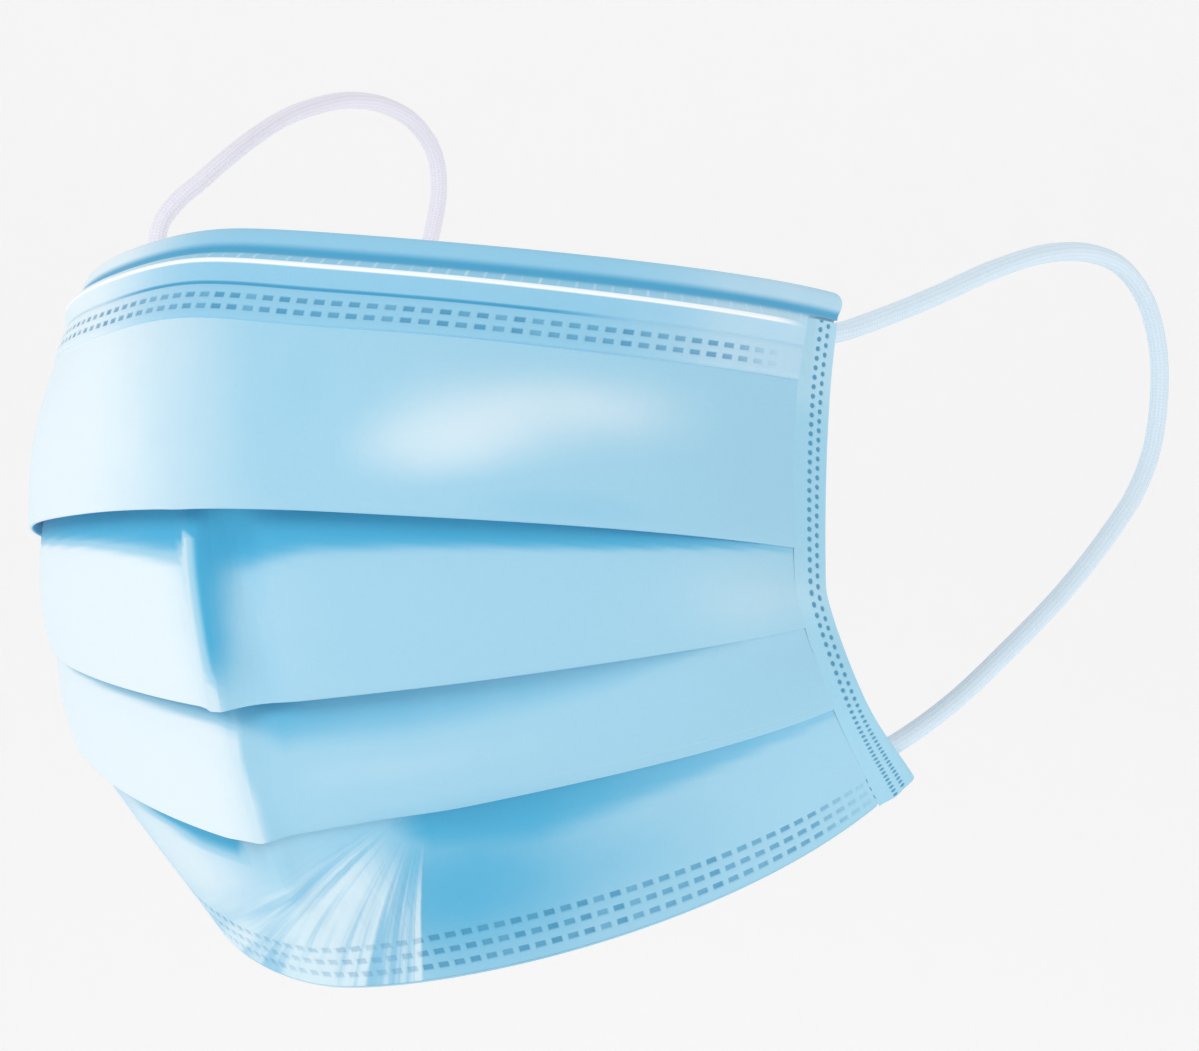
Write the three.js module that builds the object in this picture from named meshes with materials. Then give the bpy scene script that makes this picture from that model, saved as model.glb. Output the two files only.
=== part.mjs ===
import * as THREE from 'three';

// Surgical face mask, standing open as it is worn. Millimetres, +Z up, +X to the wearer's left and
// -Y to the front. The origin is the middle of the open back, level with the middle of the face.

// Overall sizes
const HALF_WIDTH = 70;       // from the middle out to a side edge, straight across
const FRONT_REACH = 70;      // from the side edges forward to the nose
const SIDE_HEIGHT = 73;      // top corner to bottom corner, straight
const CENTRE_HEIGHT = 112;   // top edge to bottom edge at the middle, straight

// Cloth and clearances
const PANEL_WALL = 1.0;      // three plies of nonwoven, puffed up
const HEM_WALL = 1.0;
const BINDING_WALL = 1.0;
const CLEARANCE = 0.3;       // between pieces that lie on each other
const CLOSED_STEP = 0.3;     // height of a pleat where the side binding presses it flat

// Pleats
const LIP_SHARE = 0.35;      // of an open pleat's height, how much its lip stands proud
const LIP_SETBACK = 1.6;     // walls from an open lip's edge back to its inner fold

// Hems, binding and nose wire
const BACK_FLAP = 8;         // how far the top hem reaches down inside
const TAB_HEIGHT = 5;        // the hem's corner tabs, above the side bindings
const BOTTOM_FLAP = 9;       // how far the bottom hem reaches up inside
const BINDING_WIDTH = 6.5;
const WIRE_WIDTH = 3.2;
const WIRE_THICKNESS = 0.8;
const WIRE_DOWN = 6.4;       // from the top edge to the wire's middle
const WIRE_HALF_LENGTH = 86; // measured round the face
const WIRE_SHOULDER = 1.2;   // the hem's slope beside the wire

// Ear loops
const CORD_DIAMETER = 3;
const CORD_SIDES = 8;
const CORD_STEPS = 44;

// Lines across the mask, from the top edge to the bottom edge. down is a share of the middle's
// length. wide is a share of HALF_WIDTH, reach and back are shares of FRONT_REACH, sideZ is a share
// of SIDE_HEIGHT and centreZ of CENTRE_HEIGHT. nose and cheek say how far the line runs straight at
// the middle and at the side, and rise how sharply it bends up or down beside the middle.
const LINES = [
  { name: 'top_edge', down: 0.00, wide: 0.95, reach: 0.885, back: -0.02, sideZ: 0.503, centreZ: 0.406,
    nose: 0.42, cheek: 0.50, rise: 1.00 },
  { name: 'hem_line', down: 0.13, wide: 0.955, reach: 1.00, back: -0.065, sideZ: 0.314, centreZ: 0.287,
    nose: 0.43, cheek: 0.52, rise: 0.96 },
  { name: 'pleat_1', down: 0.36, wide: 1.00, reach: 1.00, back: -0.152, sideZ: -0.02, centreZ: 0.046,
    nose: 0.42, cheek: 0.54, rise: 1.38 },
  { name: 'pleat_2', down: 0.60, wide: 1.02, reach: 0.872, back: -0.15, sideZ: -0.152, centreZ: -0.211,
    nose: 0.38, cheek: 0.57, rise: 1.16 },
  { name: 'pleat_3', down: 0.77, wide: 1.03, reach: 0.775, back: -0.055, sideZ: -0.302, centreZ: -0.386,
    nose: 0.35, cheek: 0.60, rise: 1.22 },
  { name: 'bottom', down: 1.00, wide: 0.895, reach: 0.53, back: 0.35, sideZ: -0.48, centreZ: -0.593,
    nose: 0.31, cheek: 0.64, rise: 2.00 },
];
const LINE_KEYS = ['wide', 'reach', 'back', 'sideZ', 'centreZ', 'nose', 'cheek', 'rise'];
const HEM_LINE = LINES[1].down;

// The upper lines are rounded over the nose, by this share of the half width, down to where the
// chin's point begins
const NOSE_ROUND = 0.12;
const ROUND_TO = 0.30;
const POINT_FROM = 0.55;

// Pleats, each with its lip on the line of its name. tuck is how deep it folds up under the lip and
// open how far the lip stands off the next panel at the middle, in mm; closes is the share of the
// half width where it lies flat.
const PLEATS = [
  { name: 'pleat_1', tuck: 8, open: 5.5, closes: 0.92 },
  { name: 'pleat_2', tuck: 7, open: 4.2, closes: 0.86 },
  { name: 'pleat_3', tuck: 7, open: 4.6, closes: 0.92 },
];

// Rows of facets in each panel between the pleats, from the top
const PANEL_ROWS = [8, 5, 4, 7];

// Creases in the cloth, as straight lines between two places given as shares across and down.
// width is half of the crease's own width and height how far it stands out, in mm.
const CREASES = [
  { name: 'centre_ridge_upper', from: [0, 0.37], to: [0, 0.60], width: 2.6, height: 1.8 },
  { name: 'centre_ridge_lower', from: [0.005, 0.60], to: [0.045, 0.86], width: 3.0, height: 1.4 },
  { name: 'ridge_valley', from: [0.07, 0.38], to: [0.085, 0.59], width: 5.0, height: -2.8 },
  { name: 'chin_fold_1', from: [0.20, 0.82], to: [-0.26, 1.02], width: 2.2, height: 1.3 },
  { name: 'chin_fold_2', from: [0.22, 0.82], to: [-0.15, 1.02], width: 2.2, height: 1.5 },
  { name: 'chin_fold_3', from: [0.24, 0.82], to: [-0.05, 1.02], width: 2.2, height: 1.6 },
  { name: 'chin_fold_4', from: [0.26, 0.82], to: [0.05, 1.02], width: 2.2, height: 1.5 },
  { name: 'chin_fold_5', from: [0.28, 0.82], to: [0.15, 1.02], width: 2.2, height: 1.3 },
];
const CREASE_FADE = 0.15;    // share of a crease's length over which each end dies away

// Facet columns: close together round the nose and chin, wider apart over the cheeks
const NOSE_SHARE = 0.32;
const NOSE_COLUMNS = 20;
const CHEEK_COLUMNS = 8;
const BINDING_COLUMNS = 2;
const BINDING_ROWS = 16;
const FLAP_ROWS = 2;

// Ear loop routes, chosen by hand, from the top weld on the inner face round to the bottom weld
const LEFT_LOOP_ROUTE = [
  [62.2, -9.3, 30.4], [62.3, -3.8, 30.6], [63.3, 3.6, 31.4], [65.4, 12.6, 34], [67.6, 24.6, 37.9],
  [69.2, 37.4, 42.2], [70.6, 50.6, 45.4], [71.6, 62.6, 46.2], [72.1, 72.8, 44.2], [72.4, 80.2, 38.4],
  [72.4, 83.8, 29.6], [72.2, 82.4, 17.2], [71.8, 77.6, 9], [71, 69.8, 1.6], [69.4, 57.6, -8],
  [67.2, 45.4, -16.4], [64.6, 33.6, -24.2], [61.8, 22.6, -30], [60.3, 14.8, -32.6], [59.6, 8.9, -34.4],
];
const RIGHT_LOOP_ROUTE = [
  [-62.2, -9.3, 30.4], [-62.1, -4.2, 30.7], [-63.2, 0.4, 32.4], [-67, 2.2, 36.8], [-71, 2.2, 43.2],
  [-73.5, 2.9, 49.2], [-73.7, 4.4, 54.2], [-71.9, 6.8, 58.2], [-70.1, 9.6, 61], [-68.7, 13.4, 64.4],
  [-68.2, 18.4, 67.8], [-68.6, 24.6, 71.1], [-69.2, 32, 74.3], [-70.1, 41, 76.9], [-71.7, 51, 78.7],
  [-72.8, 62.2, 78.7], [-72.6, 69.9, 76.3], [-72.5, 75.4, 71.4], [-72.4, 76.8, 65.6], [-72.2, 74.8, 57.4],
  [-71.6, 68.6, 45.4], [-70.4, 59.2, 29.8], [-68.6, 48.6, 12.6], [-66.4, 37.6, -4.4], [-63.8, 27, -20],
  [-61.2, 17.6, -30.6], [-59.6, 8.9, -34.4],
];

// Value of every LINES column at a place down the mask, on a smooth curve through the table
function lineAt(down) {
  const last = LINES.length - 2;
  let index = LINES.findIndex((line, i) => i <= last && down < LINES[i + 1].down);
  if (index < 0) index = last;
  const [start, end] = [LINES[index], LINES[index + 1]];
  const span = end.down - start.down;
  const share = (down - start.down) / span;
  const t = THREE.MathUtils.clamp(share, 0, 1);
  const values = {};
  for (const key of LINE_KEYS) {
    const slopeStart = lineSlope(index, key) * span;
    const slopeEnd = lineSlope(index + 1, key) * span;
    values[key] = (2 * t ** 3 - 3 * t ** 2 + 1) * start[key] + (t ** 3 - 2 * t ** 2 + t) * slopeStart
      + (3 * t ** 2 - 2 * t ** 3) * end[key] + (t ** 3 - t ** 2) * slopeEnd
      + Math.min(share, 0) * slopeStart + Math.max(share - 1, 0) * slopeEnd;
  }
  return values;
}

// Slope of a LINES column at one of its lines, weighted by the distances to its neighbours
function lineSlope(index, key) {
  const slope = (i) => (LINES[i + 1][key] - LINES[i][key]) / (LINES[i + 1].down - LINES[i].down);
  if (index === 0) return slope(0);
  if (index === LINES.length - 1) return slope(index - 1);
  const before = LINES[index].down - LINES[index - 1].down;
  const after = LINES[index + 1].down - LINES[index].down;
  return (slope(index - 1) * after + slope(index) * before) / (before + after);
}

// Middle of the cloth at a share across, -1 to 1, and a share down, before folds and creases
function clothPoint(across, down) {
  const line = lineAt(down);
  const wide = line.wide * HALF_WIDTH;
  const reach = line.reach * FRONT_REACH;
  const back = line.back * FRONT_REACH;
  const out = Math.abs(across);
  const left = 1 - out;
  const x = wide * (3 * left ** 2 * out * line.nose + 3 * left * out ** 2 + out ** 3);
  const y = -reach * (left ** 3 + 3 * left ** 2 * out)
    + 3 * left * out ** 2 * (back - line.cheek * (reach + back)) + back * out ** 3;
  const centreZ = line.centreZ * CENTRE_HEIGHT;
  const z = centreZ + (line.sideZ * SIDE_HEIGHT - centreZ) * roundedShare(out, down) ** line.rise;
  return new THREE.Vector3(Math.sign(across) * x, y, z);
}

// Share across, from 0 to 1, eased at the middle where the cloth runs smoothly over the nose
function roundedShare(out, down) {
  const round = NOSE_ROUND * (1 - THREE.MathUtils.smoothstep(down, ROUND_TO, POINT_FROM));
  return (Math.hypot(out, round) - round) / (Math.hypot(1, round) - round);
}

// Outward direction of the cloth, from points a small step away on each side
function clothNormal(across, down) {
  const step = 1e-3;
  const alongDown = clothPoint(across, down + step).sub(clothPoint(across, down - step));
  const alongAcross = clothPoint(across + step, down).sub(clothPoint(across - step, down));
  return alongDown.cross(alongAcross).normalize();
}

// Millimetres turned into shares: down the middle of the mask, and across beside a side edge
const CENTRE_LENGTH = measureLine((t) => clothPoint(0, t));
const HALF_LENGTH = measureLine((t) => clothPoint(t, HEM_LINE));
const SIDE_SAMPLE = 0.1;
const SIDE_STRETCH = clothPoint(1, 0.5).distanceTo(clothPoint(1 - SIDE_SAMPLE, 0.5)) / SIDE_SAMPLE;
const downShare = (mm) => mm / CENTRE_LENGTH;
const acrossShare = (mm) => mm / SIDE_STRETCH;

function measureLine(pointAt) {
  const pieces = 100;
  let length = 0;
  for (let i = 0; i < pieces; i += 1) length += pointAt(i / pieces).distanceTo(pointAt((i + 1) / pieces));
  return length;
}

// Height of all creases together at a place
function creaseHeight(across, down) {
  let height = 0;
  for (const crease of CREASES) {
    const from = new THREE.Vector2(crease.from[0] * HALF_LENGTH, crease.from[1] * CENTRE_LENGTH);
    const to = new THREE.Vector2(crease.to[0] * HALF_LENGTH, crease.to[1] * CENTRE_LENGTH);
    const place = new THREE.Vector2(across * HALF_LENGTH, down * CENTRE_LENGTH).sub(from);
    const run = to.sub(from);
    const share = place.dot(run) / run.lengthSq();
    const away = Math.abs(place.cross(run)) / run.length();
    const fade = THREE.MathUtils.smoothstep(share, -CREASE_FADE, CREASE_FADE)
      * (1 - THREE.MathUtils.smoothstep(share, 1 - CREASE_FADE, 1 + CREASE_FADE));
    height += crease.height * fade * Math.exp(-((away / crease.width) ** 2));
  }
  return height;
}

// Point of the real cloth, off millimetres outside its middle surface
function place([across, down, off]) {
  const lift = off + creaseHeight(across, down);
  return clothPoint(across, down).addScaledVector(clothNormal(across, down), lift);
}

// Closed solid between an outer and an inner sheet of points, outer[row][column] and the same for
// inner. present tells which cells of the sheet exist; every open border gets a side face.
function sheetSolid(outer, inner, present = () => true) {
  const rows = outer.length;
  const columns = outer[0].length;
  const positions = [...outer.flat(), ...inner.flat()].flatMap((point) => place(point).toArray());
  const indices = [];
  const at = (row, column, layer) => (layer * rows + row) * columns + column;
  const has = (row, column) => row >= 0 && column >= 0 && row < rows - 1 && column < columns - 1
    && present(row, column);
  const quad = (a, b, c, d) => indices.push(a, b, c, a, c, d);
  for (let row = 0; row < rows - 1; row += 1) {
    for (let column = 0; column < columns - 1; column += 1) {
      if (!has(row, column)) continue;
      const corners = [[row, column], [row + 1, column], [row + 1, column + 1], [row, column + 1]];
      const neighbours = [[row, column - 1], [row + 1, column], [row, column + 1], [row - 1, column]];
      const low = corners.map(([r, k]) => at(r, k, 0));
      const high = corners.map(([r, k]) => at(r, k, 1));
      const turn = runsBackwards(outer, row, column) ? 1 : 0;
      const [a, b, c, d] = [0, 1, 2, 3].map((corner) => (corner + turn) % 4);
      quad(low[a], low[b], low[c], low[d]);
      indices.push(high[a], high[c], high[b], high[a], high[d], high[c]);
      neighbours.forEach(([r, k], side) => {
        const next = (side + 1) % 4;
        if (!has(r, k)) quad(low[next], low[side], high[side], high[next]);
      });
    }
  }
  return usedPoints(positions, indices);
}

// Whether the rows and columns of a cell run opposite ways down and across the cloth. Its faces are
// then split along the other diagonal, so that sheets lying on each other fold alike.
function runsBackwards(sheet, row, column) {
  const [across, down] = sheet[row][column];
  const goesUp = sheet[row + 1][column][1] < down;
  const goesLeft = sheet[row][column + 1][0] < across;
  return goesUp !== goesLeft;
}

// Geometry that keeps only the points its faces use
function usedPoints(positions, indices) {
  const kept = new Map();
  const points = [];
  const faces = indices.map((index) => {
    if (!kept.has(index)) {
      kept.set(index, kept.size);
      points.push(...positions.slice(index * 3, index * 3 + 3));
    }
    return kept.get(index);
  });
  const geometry = new THREE.BufferGeometry();
  geometry.setAttribute('position', new THREE.Float32BufferAttribute(points, 3));
  geometry.setIndex(faces);
  geometry.computeVertexNormals();
  return geometry;
}

// Evenly spaced values from start to end, both included
function spread(start, end, count) {
  return Array.from({ length: count + 1 }, (_, i) => THREE.MathUtils.lerp(start, end, i / count));
}

const BINDING_START = 1 - acrossShare(BINDING_WIDTH);
const BODY_EDGE = 1 - acrossShare(BINDING_WALL + CLEARANCE);
const HEM_END = BINDING_START - acrossShare(CLEARANCE);
const BODY_TOP = downShare(HEM_WALL + CLEARANCE);
const BODY_BOTTOM = 1 - downShare(HEM_WALL + CLEARANCE);
const FLAP_LINE = 1 - downShare(BOTTOM_FLAP);

// Facet columns from one end of a strip to the other, the same inside the bindings for every piece
function columnsTo(end, endColumns) {
  const cheek = spread(NOSE_SHARE, end, endColumns).slice(1);
  const nose = spread(-NOSE_SHARE, NOSE_SHARE, NOSE_COLUMNS);
  return [...cheek.map((share) => -share).reverse(), ...nose, ...cheek];
}

// One pleat at a share across: its lip, its depth and the heights on both sides of the fold
function foldAt(pleat, across) {
  const lip = LINES.find((line) => line.name === pleat.name).down;
  const width = Math.min(Math.abs(across) / pleat.closes, 1);
  const openness = Math.cos(width * Math.PI / 2) ** 1.4;
  const height = THREE.MathUtils.lerp(CLOSED_STEP, pleat.open, openness);
  const setback = PANEL_WALL * THREE.MathUtils.lerp(1, LIP_SETBACK, openness);
  const tuck = THREE.MathUtils.lerp(setback, pleat.tuck, openness);
  return {
    lip, openness, setback: downShare(setback), tuck: downShare(tuck),
    proud: height * LIP_SHARE, sunk: -height * (1 - LIP_SHARE),
  };
}

// Places down one panel. The lowest panel has its last rows where the bottom hem has them.
function panelDowns(start, end, rows) {
  if (end !== BODY_BOTTOM) return spread(start, end, rows);
  return [...spread(start, FLAP_LINE, rows - FLAP_ROWS), ...spread(FLAP_LINE, end, FLAP_ROWS).slice(1)];
}

// Section of the pleated panel at a share across, as outer and inner points [across, down, off]
function bodySection(across) {
  const half = PANEL_WALL / 2;
  const outer = [];
  const inner = [];
  const folds = PLEATS.map((pleat) => foldAt(pleat, across));
  PANEL_ROWS.forEach((rows, index) => {
    const above = folds[index - 1];
    const below = folds[index];
    const outerStart = above ? above.lip - above.tuck + above.setback : BODY_TOP;
    const innerStart = above ? above.lip - above.tuck : BODY_TOP;
    const outerEnd = below ? below.lip : BODY_BOTTOM;
    const innerEnd = below ? below.lip - below.setback : BODY_BOTTOM;
    const outerDowns = panelDowns(outerStart, outerEnd, rows);
    const innerDowns = panelDowns(innerStart, innerEnd, rows);
    outerDowns.forEach((down, row) => {
      const share = (down - outerStart) / (outerEnd - outerStart);
      const off = (above ? above.sunk * (1 - share) ** 2.2 : 0) + (below ? below.proud * share ** 2 : 0);
      outer.push([across, down, off + half]);
      inner.push([across, innerDowns[row], off - half]);
    });
    if (below) {
      const middle = (below.proud + below.sunk) / 2;
      const underLip = THREE.MathUtils.lerp(middle + half, below.proud - half, below.openness);
      const overRoot = THREE.MathUtils.lerp(middle - half, below.sunk + half, below.openness);
      outer.push([across, below.lip, underLip]);
      inner.push([across, below.lip - below.tuck, overRoot]);
    }
  });
  return { outer, inner };
}

// Turns sections, one for each column, into rows of points
function rowsOf(sections) {
  return sections[0].map((_, row) => sections.map((section) => section[row]));
}

function bodyGeometry() {
  const bindingColumns = spread(BINDING_START, BODY_EDGE, BINDING_COLUMNS).slice(1);
  const columns = [
    ...bindingColumns.map((share) => -share).reverse(),
    ...columnsTo(BINDING_START, CHEEK_COLUMNS),
    ...bindingColumns,
  ];
  const sections = columns.map(bodySection);
  return sheetSolid(rowsOf(sections.map((s) => s.outer)), rowsOf(sections.map((s) => s.inner)));
}

// Top hem: up inside, over the edge and down the front, raised over the nose wire
function topHemGeometry() {
  const seat = PANEL_WALL / 2 + CLEARANCE;
  const skin = seat + HEM_WALL;
  const wireTop = WIRE_DOWN - WIRE_WIDTH / 2 - CLEARANCE;
  const wireBottom = WIRE_DOWN + WIRE_WIDTH / 2 + CLEARANCE;
  const raised = WIRE_THICKNESS + CLEARANCE;
  const stations = [
    { down: BACK_FLAP, outer: -skin, inner: -seat },
    { down: TAB_HEIGHT, outer: -skin, inner: -seat },
    { down: HEM_WALL, outer: -skin, inner: -seat },
    { down: 0.3 * HEM_WALL, outer: -0.75 * skin, innerDown: HEM_WALL, inner: -seat / 2 },
    { down: 0, outer: 0, innerDown: HEM_WALL, inner: 0 },
    { down: 0.3 * HEM_WALL, outer: 0.75 * skin, innerDown: HEM_WALL, inner: seat / 2 },
    { down: HEM_WALL, outer: skin, inner: seat },
    { down: wireTop - WIRE_SHOULDER, outer: skin, inner: seat },
    { down: wireTop, outer: skin, inner: seat, raise: raised },
    { down: TAB_HEIGHT, outer: skin, inner: seat, raise: raised },
    { down: wireBottom, outer: skin, inner: seat, raise: raised },
    { down: wireBottom + WIRE_SHOULDER, outer: skin, inner: seat },
    { down: (wireBottom + WIRE_SHOULDER + HEM_LINE * CENTRE_LENGTH) / 2, outer: skin, inner: seat },
    { down: HEM_LINE * CENTRE_LENGTH, outer: skin, inner: seat },
  ];
  const inside = columnsTo(HEM_END, CHEEK_COLUMNS);
  const columns = [-1, ...inside, 1];
  const raiseAt = (across, station) => (Math.abs(across) < HEM_END ? station.raise ?? 0 : 0);
  const outer = stations.map((station) => columns.map((across) => [
    across, downShare(station.down), station.outer + raiseAt(across, station)]));
  const inner = stations.map((station) => columns.map((across) => [
    across, downShare(station.innerDown ?? station.down), station.inner + raiseAt(across, station)]));
  const firstTabRow = stations.findIndex((station) => station.down === TAB_HEIGHT);
  const lastTabRow = stations.findLastIndex((station) => station.down === TAB_HEIGHT);
  const present = (row, column) => (column > 0 && column < columns.length - 2)
    || (row >= firstTabRow && row < lastTabRow);
  return sheetSolid(outer, inner, present);
}

// Nose wire: a flat strip between the panel and the top hem
function noseWireGeometry() {
  const seat = PANEL_WALL / 2 + CLEARANCE;
  const end = Math.min(WIRE_HALF_LENGTH / HALF_LENGTH, HEM_END - acrossShare(CLEARANCE));
  const columns = columnsTo(end, CHEEK_COLUMNS);
  const downs = [WIRE_DOWN - WIRE_WIDTH / 2, WIRE_DOWN, WIRE_DOWN + WIRE_WIDTH / 2].map(downShare);
  const outer = downs.map((down) => columns.map((across) => [across, down, seat + WIRE_THICKNESS]));
  const inner = downs.map((down) => columns.map((across) => [across, down, seat]));
  return sheetSolid(outer, inner);
}

// Bottom hem: under the bottom edge and up inside
function bottomHemGeometry() {
  const front = PANEL_WALL / 2;
  const seat = -PANEL_WALL / 2 - CLEARANCE;
  const skin = seat - HEM_WALL;
  const floor = 1 - downShare(HEM_WALL);
  const stations = [
    { outer: [floor + 0.3 * (1 - floor), front], inner: [floor, front] },
    { outer: [1, front / 2], inner: [floor, 0] },
    { outer: [1, (seat + skin) / 2], inner: [floor, seat] },
    ...spread(BODY_BOTTOM, FLAP_LINE, FLAP_ROWS).map((down) => ({ outer: [down, skin], inner: [down, seat] })),
  ];
  const columns = columnsTo(HEM_END, CHEEK_COLUMNS);
  const outer = stations.map((station) => columns.map((across) => [across, ...station.outer]));
  const inner = stations.map((station) => columns.map((across) => [across, ...station.inner]));
  return sheetSolid(outer, inner);
}

// Side binding: round the pleated side edge from the front face to the inner face
function bindingGeometry(side) {
  const seat = PANEL_WALL / 2 + CLOSED_STEP + CLEARANCE;
  const skin = seat + BINDING_WALL;
  const channel = 1 - acrossShare(BINDING_WALL);
  const middle = (BINDING_START + channel) / 2;
  const section = [
    { outer: [BINDING_START, skin], inner: [BINDING_START, seat] },
    { outer: [middle, skin], inner: [middle, seat] },
    { outer: [channel, skin], inner: [channel, seat] },
    { outer: [1 - 0.3 * (1 - channel), 0.75 * skin], inner: [channel, seat / 2] },
    { outer: [1, 0], inner: [channel, 0] },
    { outer: [1 - 0.3 * (1 - channel), -0.75 * skin], inner: [channel, -seat / 2] },
    { outer: [channel, -skin], inner: [channel, -seat] },
    { outer: [middle, -skin], inner: [middle, -seat] },
    { outer: [BINDING_START, -skin], inner: [BINDING_START, -seat] },
  ];
  const ordered = side > 0 ? section : section.reverse();
  const downs = spread(downShare(TAB_HEIGHT + CLEARANCE), 1, BINDING_ROWS);
  const row = (down, key) => ordered.map((point) => [side * point[key][0], down, point[key][1]]);
  return sheetSolid(downs.map((down) => row(down, 'outer')), downs.map((down) => row(down, 'inner')));
}

// Ear loop: a round elastic cord along its route
function earLoopGeometry(route) {
  const section = new THREE.Shape();
  for (let i = 0; i < CORD_SIDES; i += 1) {
    const angle = (i / CORD_SIDES) * 2 * Math.PI;
    const corner = [Math.cos(angle), Math.sin(angle)].map((value) => value * CORD_DIAMETER / 2);
    if (i === 0) section.moveTo(...corner);
    else section.lineTo(...corner);
  }
  const extrudePath = new THREE.CatmullRomCurve3(route.map((point) => new THREE.Vector3(...point)));
  return new THREE.ExtrudeGeometry(section, { steps: CORD_STEPS, extrudePath });
}

const clothMaterial = new THREE.MeshStandardMaterial({ color: 0x9fd2ea, roughness: 0.75, metalness: 0 });
const hemMaterial = new THREE.MeshStandardMaterial({ color: 0x98cbe6, roughness: 0.72, metalness: 0 });
const bindingMaterial = new THREE.MeshStandardMaterial({ color: 0xa9d8ec, roughness: 0.72, metalness: 0 });
const wireMaterial = new THREE.MeshStandardMaterial({ color: 0xe6e9ec, roughness: 0.5, metalness: 0 });
const cordMaterial = new THREE.MeshStandardMaterial({ color: 0xd8e6f2, roughness: 0.8, metalness: 0 });

const mask = new THREE.Group();

function addPiece(name, geometry, material) {
  const mesh = new THREE.Mesh(geometry, material);
  mesh.name = name;
  mask.add(mesh);
}

addPiece('mask_body', bodyGeometry(), clothMaterial);
addPiece('top_hem', topHemGeometry(), hemMaterial);
addPiece('nose_wire', noseWireGeometry(), wireMaterial);
addPiece('bottom_hem', bottomHemGeometry(), hemMaterial);
addPiece('side_binding_left', bindingGeometry(1), bindingMaterial);
addPiece('side_binding_right', bindingGeometry(-1), bindingMaterial);
addPiece('ear_loop_left', earLoopGeometry(LEFT_LOOP_ROUTE), cordMaterial);
addPiece('ear_loop_right', earLoopGeometry(RIGHT_LOOP_ROUTE), cordMaterial);

export default mask;
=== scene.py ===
"""Looks of a pleated surgical face mask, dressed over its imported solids.

The classes work in millimetres and in shares of the mask: across runs from -1 at the wearer's right
side edge to 1 at the left, down from 0 at the top edge to 1 at the bottom edge. Meshes are made in
metres, +Z up, with the front of the mask towards -Y.
"""

import logging
import math
from dataclasses import dataclass, field
from enum import Enum
from functools import cached_property
from typing import Any, NamedTuple

import bpy
import numpy as np
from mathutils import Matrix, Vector


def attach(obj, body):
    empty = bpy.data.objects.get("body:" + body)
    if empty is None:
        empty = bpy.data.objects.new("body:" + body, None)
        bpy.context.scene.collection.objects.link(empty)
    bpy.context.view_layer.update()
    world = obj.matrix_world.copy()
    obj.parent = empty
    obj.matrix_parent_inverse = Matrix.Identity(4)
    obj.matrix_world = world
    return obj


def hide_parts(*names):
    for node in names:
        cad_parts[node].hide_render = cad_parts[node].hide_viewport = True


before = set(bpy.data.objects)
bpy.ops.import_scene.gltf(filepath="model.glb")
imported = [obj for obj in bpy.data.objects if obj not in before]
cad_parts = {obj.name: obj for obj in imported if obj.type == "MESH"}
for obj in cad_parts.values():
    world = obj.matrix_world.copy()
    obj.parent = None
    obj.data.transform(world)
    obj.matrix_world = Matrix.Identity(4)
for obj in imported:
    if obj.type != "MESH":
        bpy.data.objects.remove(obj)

LOG = logging.getLogger("face_mask")
MM = 0.001
Array = np.ndarray
Colour = tuple[float, float, float]


def smooth_step(value: Array, low: float, high: float) -> Array:
    """Returns 0 below low, 1 above high and an eased value between."""
    share = np.clip((value - low) / (high - low), 0.0, 1.0)
    return share * share * (3.0 - 2.0 * share)


def srgb(red: int, green: int, blue: int) -> Colour:
    """Returns a linear colour from screen values between 0 and 255."""
    shares = (value / 255.0 for value in (red, green, blue))
    return tuple(s / 12.92 if s <= 0.04045 else ((s + 0.055) / 1.055) ** 2.4 for s in shares)


# Shader expressions

class Term:
    """An output socket of a material that takes part in Python arithmetic."""

    def __init__(self, paint: "Paint", socket: bpy.types.NodeSocket) -> None:
        """Keeps the socket and the material it belongs to."""
        self.paint = paint
        self.socket = socket

    def __add__(self, other: "Number") -> "Term":
        """Returns self + other."""
        return self.paint.math("ADD", self, other)

    def __sub__(self, other: "Number") -> "Term":
        """Returns self - other."""
        return self.paint.math("SUBTRACT", self, other)

    def __rsub__(self, other: "Number") -> "Term":
        """Returns other - self."""
        return self.paint.math("SUBTRACT", other, self)

    def __mul__(self, other: "Number") -> "Term":
        """Returns self * other."""
        return self.paint.math("MULTIPLY", self, other)

    def __truediv__(self, other: "Number") -> "Term":
        """Returns self / other."""
        return self.paint.math("DIVIDE", self, other)

    __radd__ = __add__
    __rmul__ = __mul__


Number = Term | float


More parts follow.
